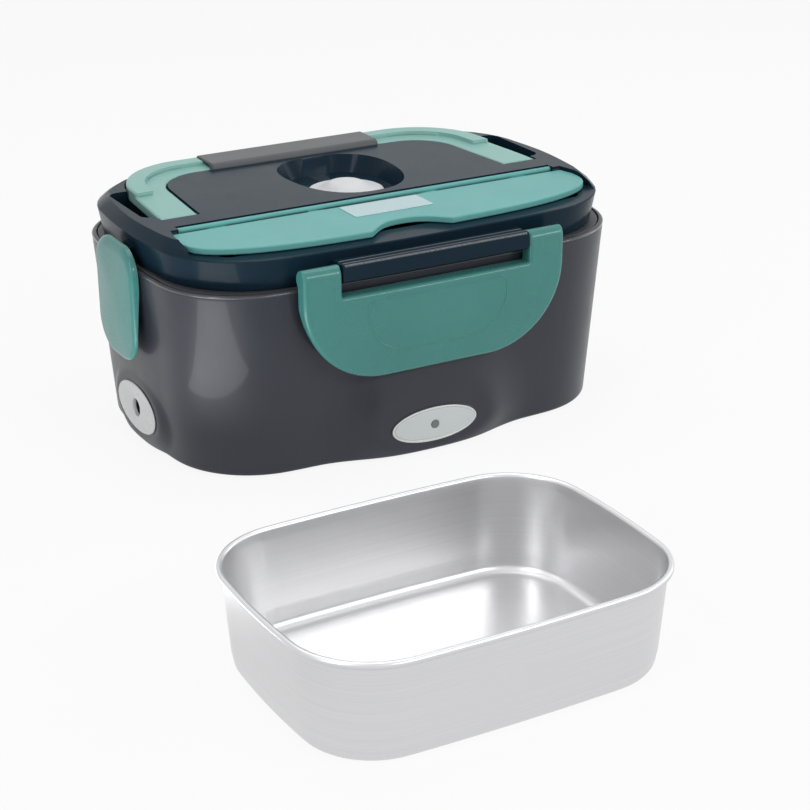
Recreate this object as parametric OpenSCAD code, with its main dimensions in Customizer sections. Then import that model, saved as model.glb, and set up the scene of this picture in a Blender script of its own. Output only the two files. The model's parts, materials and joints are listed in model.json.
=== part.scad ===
// Electric lunch box: a heated case with a clip-on lid, a fold-down carrying
// handle, a cutlery compartment and a loose steel food tray.
// Millimetres, +X to the right along the long side, +Y to the back, +Z up.
// The origin is the centre of the flat underside of the base cover.

/* [Case] */
// Length of the case at its rim
case_l = 235; // [225:1:250]
// Width of the case at its rim
case_w = 157.6; // [150:0.2:170]
// Height of the case from its underside to its rim
case_h = 89; // [82:1:100]
// Corner radius of the case seen from above
case_r = 43; // [36:1:46]
// How far each side leans in from the rim to the foot
case_draft = 5.4; // [3:0.1:7]
// How far each side bows out at its middle
case_bow = 1.8; // [0.5:0.1:2.5]
// Wall thickness of the outer mouldings
wall = 2.4; // [1.8:0.1:2.8]
// Thickness of the base cover
base_t = 3; // [2.6:0.1:4]
// Width of the shelf inside the rim that carries the cavity liner
shelf_w = 5; // [4:0.5:7]
// Radius of the screw bosses of the case
boss_r = 4.5; // [4:0.1:5.5]
// Radius of a rubber foot
foot_r = 7; // [5:0.5:9]
// How far a rubber foot stands below the base cover
foot_drop = 1.2; // [0.8:0.1:1.3]

/* [Heated cavity] */
// Length of the cavity at its mouth
cavity_l = 177; // [170:1:182]
// Width of the cavity at its mouth
cavity_w = 129; // [122:1:133]
// Corner radius of the cavity at its mouth
cavity_r = 38; // [32:1:42]
// How far each cavity wall leans in from the mouth to the floor
cavity_draft = 4; // [2:0.5:5]
// Height of the cavity floor above the underside of the case
floor_z = 34; // [30:1:38]
// Wall thickness of the cavity liner
liner_t = 2; // [1.5:0.1:2.5]
// Thickness of the metal heating tray
tray_t = 1.2; // [0.8:0.1:2]
// Height of the rim of the heating tray
tray_rim = 3.5; // [2:0.5:6]
// Length of the heater block
heater_l = 92; // [80:1:100]
// Width of the heater block
heater_w = 36; // [28:1:40]
// Thickness of the heater block
heater_t = 7; // [5:0.5:9]
// Thickness of the insulation pad
pad_t = 1.5; // [1:0.1:2]
// Width of the heater clamp strip
clamp_w = 12; // [8:1:16]
// Thickness of the heater clamp strip
clamp_t = 1.2; // [0.8:0.1:1.6]
// Radius of the thermostat can
thermostat_r = 8; // [6:0.5:8.5]
// Radius of a mains wire over its insulation
wire_r = 1.1; // [0.8:0.1:1.3]

/* [Lid] */
// Height of the lid from the case rim to the top of its plateau
lid_h = 19; // [18:0.5:22]
// How far the lid stands in from the case rim where it is widest
lid_inset = 2.4; // [1.9:0.1:3]
// How far the lid's foot stands in from its widest level
lid_foot_in = 1.9; // [0.8:0.1:2.2]
// Height of the sloping shoulder round the top of the lid
shoulder_h = 5.3; // [4:0.1:6]
// How far the shoulder runs in across the width
shoulder_in = 6.3; // [5:0.1:7]
// Wall thickness of the lid
lid_wall = 2.2; // [1.8:0.1:2.4]
// Thickness of the inner lid plate
plate_t = 2.2; // [1.8:0.1:2.6]
// Width of the silicone seal
seal_w = 3.4; // [2.8:0.2:3.8]
// Sideways place of the steam vent and its finger well
well_x = 6; // [0:1:10]
// Distance of the steam vent behind the middle of the lid
vent_y = 14; // [10:1:18]
// Depth of the finger well below the plateau
well_depth = 8.5; // [7:0.1:9]
// Radius of the steam vent plug's cap
plug_r = 18.5; // [14:0.5:19]
// Radius of the stem of the steam vent plug
stem_r = 4.8; // [3.5:0.1:6]

/* [Handle] */
// Half the distance between the inner edges of the handle arms
arm_in = 82; // [78:0.5:84]
// Width of a handle arm
arm_w = 18; // [15:0.5:18.5]
// Angle at which the arms lean in towards the rear
arm_lean = 5; // [0:0.5:6]
// Thickness of the handle strap
strap_t = 4.9; // [4.4:0.1:5.2]
// Distance from the lid's middle forward to the handle's pivot axis
pivot_front = 6.8; // [5:0.1:8]
// Distance from the lid's middle back to the rear edge of the handle
handle_back = 74.5; // [72:0.5:75]
// Width of the rear rail of the handle
rail_w = 18.5; // [16:0.5:20]
// Height of the ridge along the rear of the handle
ridge_h = 2; // [1:0.1:2.5]
// Length of the soft grip
grip_l = 92; // [80:1:100]
// Radius of the handle pins
handle_pin_r = 1.2; // [0.9:0.1:1.4]
// Width of the finger pocket beside each handle arm
pocket_w = 6.6; // [5.6:0.1:7.4]
// Length of the finger pocket
pocket_l = 45; // [35:1:50]
// Depth of the finger pocket below the plateau
pocket_depth = 10.4; // [8:0.1:11]

/* [Cutlery cover] */
// Half the length of the cutlery cover
cover_half = 105; // [100:0.5:106]
// Distance from the lid's middle to the rear edge of the cover
cover_rear = 27.3; // [26:0.1:28]
// Distance from the lid's middle to the front edge of the cover
cover_front = 68.5; // [66:0.1:69.5]
// Thickness of the cutlery cover
cover_t = 3; // [2.4:0.1:3.2]
// Step from the plateau down to the top of the cutlery cover
cover_step = 1.6; // [1:0.1:2]
// Radius of the cover's hinge barrel
barrel_r = 1.3; // [1.1:0.05:1.5]
// Radius of the cover's hinge pins
cover_pin_r = 0.8; // [0.6:0.05:0.9]
// Depth of the cutlery compartment below the cover
compartment_depth = 8; // [6:0.1:8.2]
// Width of the finger notch in the cover
notch_w = 42; // [30:1:46]
// Depth of the finger notch in the cover
notch_depth = 11; // [7:0.5:12]

/* [Latches] */
// Half the width of the front and rear latches
long_latch_half = 67; // [60:0.5:70]
// Half the width of the side latches
side_latch_half = 21.5; // [18:0.5:24]
// How far a latch stands out from the case rim at the front and rear
latch_out = 8; // [7.6:0.1:9]
// How far a side latch stands out from the case rim
side_latch_out = 5.3; // [5:0.1:6]
// Height of the lower edge of the latches
latch_bottom = 43.6; // [40:0.1:50]
// Radius of the lower corners of the front and rear latches
latch_r = 40; // [30:1:42]
// Radius of the lower corners of the side latches
side_latch_r = 16; // [10:1:18]
// Radius of the side latches' upper corners
side_top_r = 13; // [6:0.5:14]
// Skin thickness of the latches
latch_skin = 1.8; // [1.4:0.1:2]
// Height of the latch hinge axis above the case rim
latch_axis_up = 5.4; // [5:0.1:6]
// Half the length of the lug bars at the front and rear
bar_half = 47.8; // [40:0.1:52]
// Half the length of the lugs at the sides
lug_half = 5; // [4:0.5:8]
// Radius of the latch hinge pins at the front and rear
latch_pin_r = 1.25; // [1:0.05:1.4]
// Radius of the latch hinge pins at the sides
side_pin_r = 0.9; // [0.7:0.05:1]
// Height of the catch ledges above the underside of the case
ledge_z = 59; // [55:0.5:62]

/* [Lamp and inlet] */
// Length of the oval lamp window
oval_l = 45; // [36:0.5:50]
// Height of the oval lamp window
lamp_oval_h = 17; // [14:0.5:19]
// Height of the middle of the lamp window
lamp_z = 13.2; // [12.6:0.1:15]
// How far the lamp boss stands out past the case rim
lamp_out = 3.2; // [2.2:0.1:5]
// Height of the oval inlet bezel
inlet_oval_h = 23; // [18:0.5:25]
// Height of the middle of the inlet
inlet_z = 16; // [15:0.1:18]
// How far the inlet's face stands in from the case rim
inlet_in = 3.4; // [2.8:0.1:3.8]
// Radius of the power inlet recess
inlet_r = 4.3; // [3.5:0.1:5]
// Radius of the lamp's lens dot
lamp_r = 2; // [1.2:0.1:2.2]

/* [Food tray] */
// Length of the food tray over its rolled rim
food_l = 158; // [146:1:170]
// Width of the food tray over its rolled rim
food_w = 119; // [108:1:124]
// Height of the food tray
food_h = 43; // [36:1:48]
// Corner radius of the food tray's rim
food_r = 34; // [28:1:40]
// Sheet thickness of the food tray
food_t = 1; // [0.6:0.1:1.5]
// How far each food tray wall leans in from rim to bottom
food_draft = 4; // [2:0.5:6]
// Place of the food tray beside the case, along X
food_x = -94; // [-110:1:-60]
// Place of the food tray in front of the case, along Y
food_y = -252; // [-290:1:-235]

/* [Fits] */
// Gap between mouldings that meet but move apart
gap = 0.3; // [0.2:0.05:0.35]
// Radial clearance of a pin in its bore
pin_gap = 0.05; // [0.03:0.01:0.08]
// Gap round the cutlery cover in its seat
cover_gap = 0.5; // [0.4:0.05:0.8]
// Gap behind the cover's rear corners, which swing back as it opens
swing_gap = 0.9; // [0.7:0.05:1.2]

/* [Hidden] */
$fn = 64;

// Colours of the real finishes
slate = [0.25, 0.27, 0.31];
dark_slate = [0.20, 0.24, 0.29];
teal = [0.33, 0.56, 0.53];
pale_teal = [0.50, 0.71, 0.69];
steel = [0.78, 0.79, 0.80];

eps = 0.01;
half_l = case_l / 2;
half_w = case_w / 2;
lamp_face = half_w + lamp_out;
inlet_face = half_l - inlet_in;

// Levels, from the bottom up
shelf_z = case_h - 3;
shelf_t = 2;
flange_t = 2.8;
flange_top = shelf_z + flange_t;
lid_z0 = case_h + gap;
plate_z = case_h + 1.8;
plate_top = plate_z + plate_t;
lid_top = case_h + lid_h;
lid_edge_z = lid_top - shoulder_h;
cover_top = lid_top - cover_step;
cover_z = cover_top - cover_t;
seat_z = cover_z - 0.2;
compartment_z = seat_z - compartment_depth;
strap_top = lid_top - 0.2;
strap_z = strap_top - strap_t;
channel_z = strap_z - gap;
well_z = lid_top - well_depth;
pocket_z = lid_top - pocket_depth;

// Screws
screw_r = 1.4;
screw_head_r = 2.8;
screw_head_h = 1.7;
base_screw_l = 11;
small_screw_r = 0.8;

// ---- shapes seen from above ------------------------------------------------

// Quarter circle of points about c, starting at angle a
function quarter(c, r, a, n = 10) =
    [for (i = [0:n]) [c[0] + r * cos(a + 90 * i / n), c[1] + r * sin(a + 90 * i / n)]];

// Places along a bowed side, as shares of its half length
side_u = [0.6, 0.2, -0.2, -0.6];

// Rounded rectangle with half sides a and b, whose sides bow out by bow
function bowed(a, b, r, bow) =
    let (x = a - bow - r, y = b - bow - r)
    concat(
        quarter([x, y], r, 0), [for (u = side_u) [x * u, b - bow * u * u]],
        quarter([-x, y], r, 90), [for (u = side_u) [bow * u * u - a, y * u]],
        quarter([-x, -y], r, 180), [for (u = side_u) [-x * u, bow * u * u - b]],
        quarter([x, -y], r, 270), [for (u = side_u) [a - bow * u * u, -y * u]]);

// Thin slab of the bowed outline at height z
module bowed_slab(a, b, r, z, t = eps)
    translate([0, 0, z]) linear_extrude(t) polygon(bowed(a, b, r, case_bow));

// Rounded rectangle of true arcs with half sides a and b
module round_rect(a, b, r) {
    square([2 * (a - r), 2 * b], center = true);
    square([2 * a, 2 * (b - r)], center = true);
    for (x = [-1, 1], y = [-1, 1]) translate([x * (a - r), y * (b - r)]) circle(r);
}

module round_prism(a, b, r, z, t) translate([0, 0, z]) linear_extrude(t) round_rect(a, b, r);

// Ring between two rounded rectangles, w wide, measured in from half sides a and b
module round_ring(a, b, r, w, z, t)
    translate([0, 0, z]) linear_extrude(t) difference() {
        round_rect(a, b, r);
        round_rect(a - w, b - w, r - w);
    }

// Ellipse of n points with half axes a and b
function ellipse(a, b, n = 48) = [for (i = [0:n - 1]) [a * cos(360 * i / n), b * sin(360 * i / n)]];

// Prism of a 2D shape in X and Z that runs from y0 to y1
module along_y(y0, y1)
    translate([0, y1, 0]) rotate([90, 0, 0]) linear_extrude(y1 - y0) children();

// Prism of a 2D shape in Y and Z that runs from x0 to x1
module along_x(x0, x1)
    translate([x0, 0, 0]) rotate([90, 0, 90]) linear_extrude(x1 - x0) children();

// Round bar along X or along Y
module bar_x(r, x0, x1, y, z) translate([x0, y, z]) rotate([0, 90, 0]) cylinder(r = r, h = x1 - x0);
module bar_y(r, y0, y1, x, z) translate([x, y1, z]) rotate([90, 0, 0]) cylinder(r = r, h = y1 - y0);

module both_x() for (s = [0, 1]) mirror([s, 0, 0]) children();
module both_y() for (s = [0, 1]) mirror([0, s, 0]) children();
module to_rear() rotate([0, 0, 180]) children();
module to_left() rotate([0, 0, -90]) children();
module to_right() rotate([0, 0, 90]) children();

// ---- case ------------------------------------------------------------------

function case_a(z) = half_l - case_draft * (1 - z / case_h);
function case_b(z) = half_w - case_draft * (1 - z / case_h);

edge_round = 1.2;

// Solid form of the case, moved in by inset on every side
module case_form(inset, z0, z1)
    hull() {
        soft = inset == 0 ? edge_round : 0;
        bowed_slab(case_a(z0) - inset - soft, case_b(z0) - inset - soft, case_r - inset, z0);
        bowed_slab(case_a(z0 + soft) - inset, case_b(z0 + soft) - inset, case_r - inset, z0 + soft);
        bowed_slab(case_a(z1) - inset, case_b(z1) - inset, case_r - inset, z1 - eps);
    }

// Corner bosses, on the diagonals close to the wall
boss_reach = case_r - wall - boss_r + 0.8;
boss_x = case_a(0) - case_bow - case_r + boss_reach * cos(45);
boss_y = case_b(0) - case_bow - case_r + boss_reach * sin(45);
boss_top = floor_z - 10;
module corner_places() both_x() both_y() translate([boss_x, boss_y, 0]) children();

// Swelling round an oval window, seen from its own side: face plane at y = -face
boss_grow = 7;
// Levels of a swelling: depth behind the face, and how far it reaches past the oval
function swelling_levels(deep) = [[0, 2], [1.2, 6], [3.6, 11], [deep, 11 + (deep - 3.6) * 1.5]];
module swelling(face, h, z, root)
    hull() for (level = swelling_levels(face - root))
        translate([0, 0, z]) along_y(-face + level[0], -face + level[0] + eps)
            polygon(ellipse(oval_l / 2 + level[1], h / 2 + level[1]));

// Space behind the face of a swelling
module swelling_hollow(face, h, z, root)
    translate([0, 0, z]) along_y(-face + wall, -root)
        polygon(ellipse(oval_l / 2 + boss_grow - wall - 1, h / 2 + boss_grow - wall - 1));

bezel_set = 1.2;
bezel_lip = 1.3;

// Seat and opening for an oval bezel
module bezel_cut(face, h, z) {
    translate([0, 0, z]) along_y(-face - 1, -face + bezel_set)
        polygon(ellipse(oval_l / 2, h / 2));
}

// Catch ledge that a latch snaps under, seen from its own side
module ledge(half, root, tip)
    along_x(-half, half) polygon([
        [-root, ledge_z - 3], [-tip, ledge_z], [-tip, ledge_z + 2.4], [-root, ledge_z + 3.4]]);

ledge_half = 38;
side_ledge_half = 12;
ledge_tip = half_w + latch_out - 4.4;
side_ledge_tip = half_l + side_latch_out - 3.4;
lamp_root = case_b(0) - wall - 3;
inlet_root = case_a(0) - wall - 3;

// Posts that carry the lamp board
board_gap = 5.6;
board_t = 1.6;
board_face = lamp_face - wall - board_gap;
post_x = 14;
post_r = 2.2;

module housing() color(slate) difference() {
    union() {
        difference() {
            union() {
                case_form(0, 0, case_h);
                ledge(ledge_half, half_w - 4, ledge_tip);
                to_rear() ledge(ledge_half, half_w - 4, ledge_tip);
                to_left() ledge(side_ledge_half, half_l - 4, side_ledge_tip);
                to_right() ledge(side_ledge_half, half_l - 4, side_ledge_tip);
                swelling(lamp_face, lamp_oval_h, lamp_z, lamp_root);
                to_left() swelling(inlet_face, inlet_oval_h, inlet_z, inlet_root);
            }
            case_form(wall, -1, case_h + 1);
        }
        // shelf for the liner
        intersection() {
            case_form(wall / 2, shelf_z - shelf_t, shelf_z);
            round_ring(half_l + 9, half_w + 9, case_r + 9, shelf_w + wall + 9,
                       shelf_z - shelf_t, shelf_t);
        }
        // corner bosses with their webs
        corner_places() {
            translate([0, 0, base_t]) cylinder(r = boss_r, h = boss_top - base_t);
            rotate([0, 0, 45]) translate([0, -1.2, base_t])
                cube([boss_r + 1.6, 2.4, boss_top - base_t]);
        }
        // posts for the lamp board
        both_x() bar_y(post_r, -lamp_face + wall - 1, -board_face, post_x, lamp_z);
    }
    swelling_hollow(lamp_face, lamp_oval_h, lamp_z, lamp_root - 4);
    to_left() swelling_hollow(inlet_face, inlet_oval_h, inlet_z, inlet_root - 4);
    bezel_cut(lamp_face, lamp_oval_h, lamp_z);
    to_left() bezel_cut(inlet_face, inlet_oval_h, inlet_z);
    // way through for the lamp and for the inlet socket
    bar_y(lamp_r + 2, -lamp_face, -lamp_face + wall + 1, 0, lamp_z);
    bar_x(socket_r + pin_gap, -inlet_face - 1, -inlet_face + wall + 1, 0, inlet_z);
    // pilot holes
    corner_places() translate([0, 0, base_t - 1]) cylinder(r = screw_r + pin_gap, h = base_screw_l + 1);
    both_x() bar_y(small_screw_r + pin_gap, -board_face - 4.5, -board_face + 1, post_x, lamp_z);
    // the flat underside
    translate([0, 0, -50]) cube([3 * case_l, 3 * case_w, 100], center = true);
}

// ---- heated cavity ---------------------------------------------------------

cavity_a = cavity_l / 2;
cavity_b = cavity_w / 2;
heater_open_a = 66;
heater_open_b = 38;
clamp_boss_y = 46;
clamp_boss_r = 4;
clamp_foot_z = floor_z - liner_t - 4;

// Drafted tub with its floor at z0, grown by extra on every side
module tub(extra, z0, z1)
    hull() {
        foot = extra - cavity_draft;
        translate([0, 0, z0]) linear_extrude(eps)
            polygon(bowed(cavity_a + foot, cavity_b + foot, cavity_r + foot, 0.01));
        translate([0, 0, z1 - eps]) linear_extrude(eps)
            polygon(bowed(cavity_a + extra, cavity_b + extra, cavity_r + extra, 0.01));
    }

module cavity_liner() color("dimgray") difference() {
    union() {
        tub(liner_t, floor_z - liner_t, flange_top);
        // flange on the shelf of the case
        translate([0, 0, shelf_z]) linear_extrude(flange_t)
            polygon(bowed(case_a(shelf_z) - wall - gap, case_b(shelf_z) - wall - gap,
                          case_r - wall - gap, case_bow));
        both_y() translate([0, clamp_boss_y, clamp_foot_z]) cylinder(r = clamp_boss_r, h = 5);
    }
    tub(0, floor_z, flange_top + 1);
    round_prism(heater_open_a, heater_open_b, 8, floor_z - liner_t - 1, liner_t + 2);
    both_y() translate([0, clamp_boss_y, clamp_foot_z - 1]) cylinder(r = screw_r + pin_gap, h = 5.4);
}

tray_inset = cavity_draft + 1;
module heating_tray() color("silver") difference() {
    round_prism(cavity_a - tray_inset, cavity_b - tray_inset, cavity_r - tray_inset, floor_z, tray_rim);
    round_prism(cavity_a - tray_inset - tray_t, cavity_b - tray_inset - tray_t,
                cavity_r - tray_inset - tray_t, floor_z + tray_t, tray_rim);
}

heater_a = heater_l / 2;
heater_b = heater_w / 2;
heater_z = floor_z - heater_t;
tab_y = 8;
tab_z = heater_z + 2;
tab_l = 6;
tab_t = 0.8;

module heating_element() color("gainsboro") {
    round_prism(heater_a, heater_b, 4, heater_z, heater_t);
    both_y() translate([heater_a - eps, tab_y - 2.4, tab_z]) cube([tab_l, 4.8, tab_t]);
}

pad_z = heater_z - pad_t;
module insulation_pad() color("wheat") round_prism(heater_a + 1, heater_b + 1, 4, pad_z, pad_t);

// Strip bent under the pad and up to the liner's bosses
clamp_leg = heater_b + 4;
module heater_clamp() color(steel) difference() {
    both_y() along_x(-clamp_w / 2, clamp_w / 2) polygon([
        [0, pad_z - clamp_t], [clamp_leg, pad_z - clamp_t], [clamp_leg, clamp_foot_z - clamp_t],
        [clamp_boss_y + 4.5, clamp_foot_z - clamp_t], [clamp_boss_y + 4.5, clamp_foot_z],
        [clamp_leg - clamp_t, clamp_foot_z], [clamp_leg - clamp_t, pad_z], [0, pad_z]]);
    both_y() translate([0, clamp_boss_y, 0]) cylinder(r = screw_r + 0.2, h = 2 * floor_z);
}

module pan_screw(length) {
    translate([0, 0, -screw_head_h]) cylinder(r = screw_head_r, h = screw_head_h);
    cylinder(r = screw_r, h = length);
}

module clamp_screws() color(steel)
    both_y() translate([0, clamp_boss_y, clamp_foot_z - clamp_t]) pan_screw(5);

thermostat_x = -(heater_a + thermostat_r + 2);
thermostat_h = 8;
thermostat_z = floor_z - thermostat_h;
terminal_h = 5;
module thermostat() color("black") translate([thermostat_x, 0, 0]) {
    translate([0, 0, thermostat_z]) cylinder(r = thermostat_r, h = thermostat_h);
    both_x() translate([4, -2, thermostat_z - terminal_h]) cube([tab_t, 4, terminal_h + eps]);
}

fuse_r = 1.9;
fuse_x0 = 10;
fuse_l = 14;
fuse_y = heater_b + fuse_r + 0.1;
fuse_z = heater_z + heater_t / 2;
module thermal_fuse() color("white") bar_x(fuse_r, fuse_x0, fuse_x0 + fuse_l, fuse_y, fuse_z);

// ---- lamp ------------------------------------------------------------------

board_l = 40;
board_h = 13;
module control_board() color("darkgreen") difference() {
    along_y(-board_face, -board_face + board_t)
        translate([-board_l / 2, lamp_z - board_h / 2]) square([board_l, board_h]);
    both_x() bar_y(small_screw_r + 0.2, -board_face - 1, -board_face + board_t + 1, post_x, lamp_z);
}

module board_screws() color(steel) both_x() {
    bar_y(small_screw_r, -board_face - 4, -board_face + board_t, post_x, lamp_z);
    bar_y(1.7, -board_face + board_t, -board_face + board_t + 1.2, post_x, lamp_z);
}

lens_set = 0.6;
lens_proud = 0.1;
bezel_face = lamp_face + 0.6;
module indicator_led() color("silver") {
    bar_y(lamp_r, -bezel_face - lens_proud - 0.2, -board_face, 0, lamp_z);
    bar_y(lamp_r + 0.6, -board_face - 1.6, -board_face, 0, lamp_z);
}

// Oval plate between y = -front and y = -back, shrunk by inset
module oval(h, z, inset, front, back)
    translate([0, 0, z]) along_y(-front, -back) polygon(ellipse(oval_l / 2 - inset, h / 2 - inset));

module indicator_bezel() color("white") difference() {
    oval(lamp_oval_h, lamp_z, pin_gap * 2, bezel_face, lamp_face - bezel_set);
    oval(lamp_oval_h, lamp_z, bezel_lip, bezel_face + 1, bezel_face - lens_set);
    bar_y(lamp_r + pin_gap, -lamp_face - 5, -lamp_face + 5, 0, lamp_z);
}

module indicator_lens() color("lightgray") difference() {
    oval(lamp_oval_h, lamp_z, bezel_lip + pin_gap, bezel_face + lens_proud, bezel_face - lens_set);
    bar_y(lamp_r + pin_gap, -lamp_face - 5, -lamp_face + 5, 0, lamp_z);
}

// ---- power inlet, at the left end ------------------------------------------

socket_r = inlet_r + 2.2;
socket_l = 15;
socket_front = inlet_face - bezel_set;
recess_depth = 9;
contact_r = 1.1;
pin_set_back = 5;

module inlet_bezel() color("white") to_left() difference() {
    oval(inlet_oval_h, inlet_z, pin_gap * 2, inlet_face + 0.6, inlet_face - bezel_set);
    bar_y(inlet_r, -inlet_face - 5, -inlet_face + 5, 0, inlet_z);
}

module inlet_socket() color([0.1, 0.1, 0.1]) to_left() difference() {
    union() {
        bar_y(socket_r, -socket_front, -socket_front + socket_l, 0, inlet_z);
        bar_y(socket_r + 2, -inlet_face + wall, -inlet_face + wall + 1.6, 0, inlet_z);
    }
    bar_y(inlet_r, -socket_front - 1, -socket_front + recess_depth, 0, inlet_z);
    bar_y(contact_r, -socket_front, -socket_front + socket_l + 1, 0, inlet_z);
    translate([-1.25, -socket_front, inlet_z + inlet_r - 0.8]) cube([2.5, socket_l + 1, 0.5]);
}

tail_l = 3;
contact_end = socket_front - socket_l - tail_l;
module inlet_contacts() color("goldenrod") to_left() {
    bar_y(contact_r, -socket_front + pin_set_back, -contact_end, 0, inlet_z);
    translate([-1.25, -socket_front + recess_depth - 5, inlet_z + inlet_r - 0.8])
        cube([2.5, socket_front - recess_depth + 5 - contact_end, 0.5]);
}

// ---- wires: round tubes swept along short routes ---------------------------

function unit(v) = v / norm(v);
// Smooth bend at q between p and s that starts d away from q
function bend(p, q, s, d) =
    let (a = q + d * unit(p - q), b = q + d * unit(s - q))
    [for (i = [0:4]) let (t = i / 4) (1 - t) * (1 - t) * a + 2 * t * (1 - t) * q + t * t * b];
function route(pts, d) = concat(
    [pts[0]], [for (i = [1:len(pts) - 2]) each bend(pts[i - 1], pts[i], pts[i + 1], d)],
    [pts[len(pts) - 1]]);

lean = [0.31, 0.52, 0.8];
wire_sides = 8;
module wire(pts, r, d = 3) {
    path = route(pts, d);
    last = len(path) - 1;
    rings = [for (i = [0:last])
        let (t = unit(path[min(i + 1, last)] - path[max(i - 1, 0)]),
             u = unit(cross(t, lean)), v = cross(t, u))
        for (k = [0:wire_sides - 1])
            path[i] + r * (cos(360 * k / wire_sides) * u + sin(360 * k / wire_sides) * v)];
    sides = [for (i = [0:last - 1], k = [0:wire_sides - 1])
        let (a = i * wire_sides + k, b = i * wire_sides + (k + 1) % wire_sides)
        each [[a, a + wire_sides, b], [b, a + wire_sides, b + wire_sides]]];
    front = [for (k = [0:wire_sides - 1]) k];
    back = [for (k = [wire_sides - 1:-1:0]) last * wire_sides + k];
    polyhedron(rings, concat([front], sides, [back]));
}

wire_z = 9;
lamp_wire_r = 0.7;
strip_z = inlet_z + inlet_r - 0.55;
terminal_z = thermostat_z - terminal_h;
module live_wire() color("saddlebrown") wire([
    [-contact_end, 0, inlet_z], [-contact_end + 12, 0, inlet_z], [-contact_end + 12, 0, wire_z],
    [thermostat_x - 4.4, 0, wire_z], [thermostat_x - 4.4, 0, terminal_z]], wire_r);

// One lead from the thermostat to the fuse and one from the fuse to the heater
link_r = wire_r - 0.3;
link_z = tab_z + tab_t + link_r;
link_y = 30;
fuse_turn = fuse_x0 - 20;
module link_wire() color("saddlebrown") {
    wire([
        [thermostat_x + 4.4, 0, terminal_z], [thermostat_x + 4.4, 0, wire_z],
        [thermostat_x + 4.4, link_y, wire_z], [fuse_turn, link_y, wire_z],
        [fuse_turn, fuse_y, wire_z + 4], [fuse_turn, fuse_y, fuse_z],
        [fuse_x0, fuse_y, fuse_z]], link_r);
    wire([
        [fuse_x0 + fuse_l, fuse_y, fuse_z], [heater_a - 6, fuse_y, fuse_z],
        [heater_a + 10, fuse_y, link_z], [heater_a + 10, tab_y, link_z],
        [heater_a + 2, tab_y, link_z]], link_r);
}

neutral_x = -contact_end + 4;
neutral_y = 40;
module neutral_wire() color("steelblue") wire([
    [-contact_end, 0, strip_z], [neutral_x, 0, strip_z], [neutral_x, neutral_y / 2, strip_z],
    [neutral_x, neutral_y / 2, wire_z], [neutral_x, neutral_y, wire_z],
    [heater_a + 3, neutral_y, wire_z], [heater_a + 3, -tab_y, wire_z],
    [heater_a + 3, -tab_y, tab_z]], wire_r);

module lamp_wires() color("crimson") both_x() wire([
    [7, -board_face + board_t, lamp_z + 3], [7, -board_face + board_t + 12, lamp_z + 3],
    [7, -board_face + board_t + 12, wire_z - 3], [heater_a - 8, -board_face + board_t + 12, wire_z - 3],
    [heater_a - 8, -heater_b + 2, wire_z - 3], [heater_a - 8, -heater_b + 2, pad_z]], lamp_wire_r);

// ---- base ------------------------------------------------------------------

foot_x = 70;
foot_y = 44;
foot_set = 1.3;
module foot_places() both_x() both_y() translate([foot_x, foot_y, 0]) children();

module base_cover() color(dark_slate) difference() {
    linear_extrude(base_t)
        polygon(bowed(case_a(0) - wall - gap, case_b(0) - wall - gap, case_r - wall - gap, case_bow));
    corner_places() {
        translate([0, 0, -1]) cylinder(r = screw_r + 0.2, h = base_t + 2);
        translate([0, 0, -1]) cylinder(r = screw_head_r + 0.3, h = screw_head_h + 1.2);
    }
    foot_places() translate([0, 0, -1]) cylinder(r = foot_r + pin_gap, h = foot_set + 1);
}

module base_screws() color(steel)
    corner_places() translate([0, 0, screw_head_h + 0.2]) pan_screw(base_screw_l);

module rubber_feet() color([0.12, 0.12, 0.12])
    foot_places() translate([0, 0, -foot_drop]) cylinder(r = foot_r, h = foot_drop + foot_set);

// ---- lid -------------------------------------------------------------------

lid_a = half_l - lid_inset;
lid_b = half_w - lid_inset;
lid_r = case_r + 2;
top_in_a = 4.1;
seat_a = lid_a - lid_foot_in - lid_wall;
seat_b = lid_b - lid_foot_in - lid_wall;

// Levels of the lid's outside: height, inset at the ends, inset at the sides
lid_levels = [
    [lid_z0, lid_foot_in, lid_foot_in],
    [lid_edge_z, 0, 0],
    [lid_edge_z + shoulder_h / 2, 1.3, shoulder_in / 2],
    [lid_top - eps, top_in_a, shoulder_in]];

// Solid form of the lid, moved in by inset; its foot is lowered by foot and the rest by drop
module lid_form(inset, drop, foot)
    hull() for (level = lid_levels)
        bowed_slab(lid_a - inset - level[1], lid_b - inset - level[2], lid_r - inset,
                   level[0] - (level[0] == lid_z0 ? foot : drop));

// 2D half superellipse that runs forward from y = -root to y = -front
function lobe(half, root, front, power, n = 32) = [for (i = [0:n])
    let (c = cos(180 * i / n), s = sin(180 * i / n), e = 2 / power)
    [half * sign(c) * pow(abs(c), e), -root - (front - root) * pow(s, e)]];

cover_side = 36;
module cover_outline(grow = 0) polygon(concat(
    lobe(cover_half + grow, cover_side, cover_front + grow, 2.8),
    [[-cover_half + 2 - grow, -cover_rear], [cover_half - 2 + grow, -cover_rear]]));

barrel_y = -cover_rear + 3.9;
barrel_z = cover_top - 0.1;
barrel_half = cover_half - 6;
barrel_wall_y = barrel_y + barrel_r + 0.4;

// Region above the cover's seat, open towards the front of the lid
module cover_region() {
    for (y = [0, -6, -12]) translate([0, y]) cover_outline(cover_gap);
    translate([-cover_half + 2 - cover_gap, -cover_side])
        square([2 * (cover_half - 2 + cover_gap), cover_side - cover_rear + swing_gap]);
    translate([-barrel_half - gap, -cover_rear - 1])
        square([2 * (barrel_half + gap), barrel_wall_y + cover_rear + 1]);
}

arm_out = arm_in + arm_w;
handle_r = 38;
pivot_y = -pivot_front;
pivot_z = strap_z + strap_t / 2;
pivot_end_r = strap_t / 2;
rail_in = handle_back - rail_w;

// Half width at y of a form whose sides lean in, and which is reach wide at the pivot
function lean_x(reach, y) = reach - (y - pivot_y) * tan(arm_lean);

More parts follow.
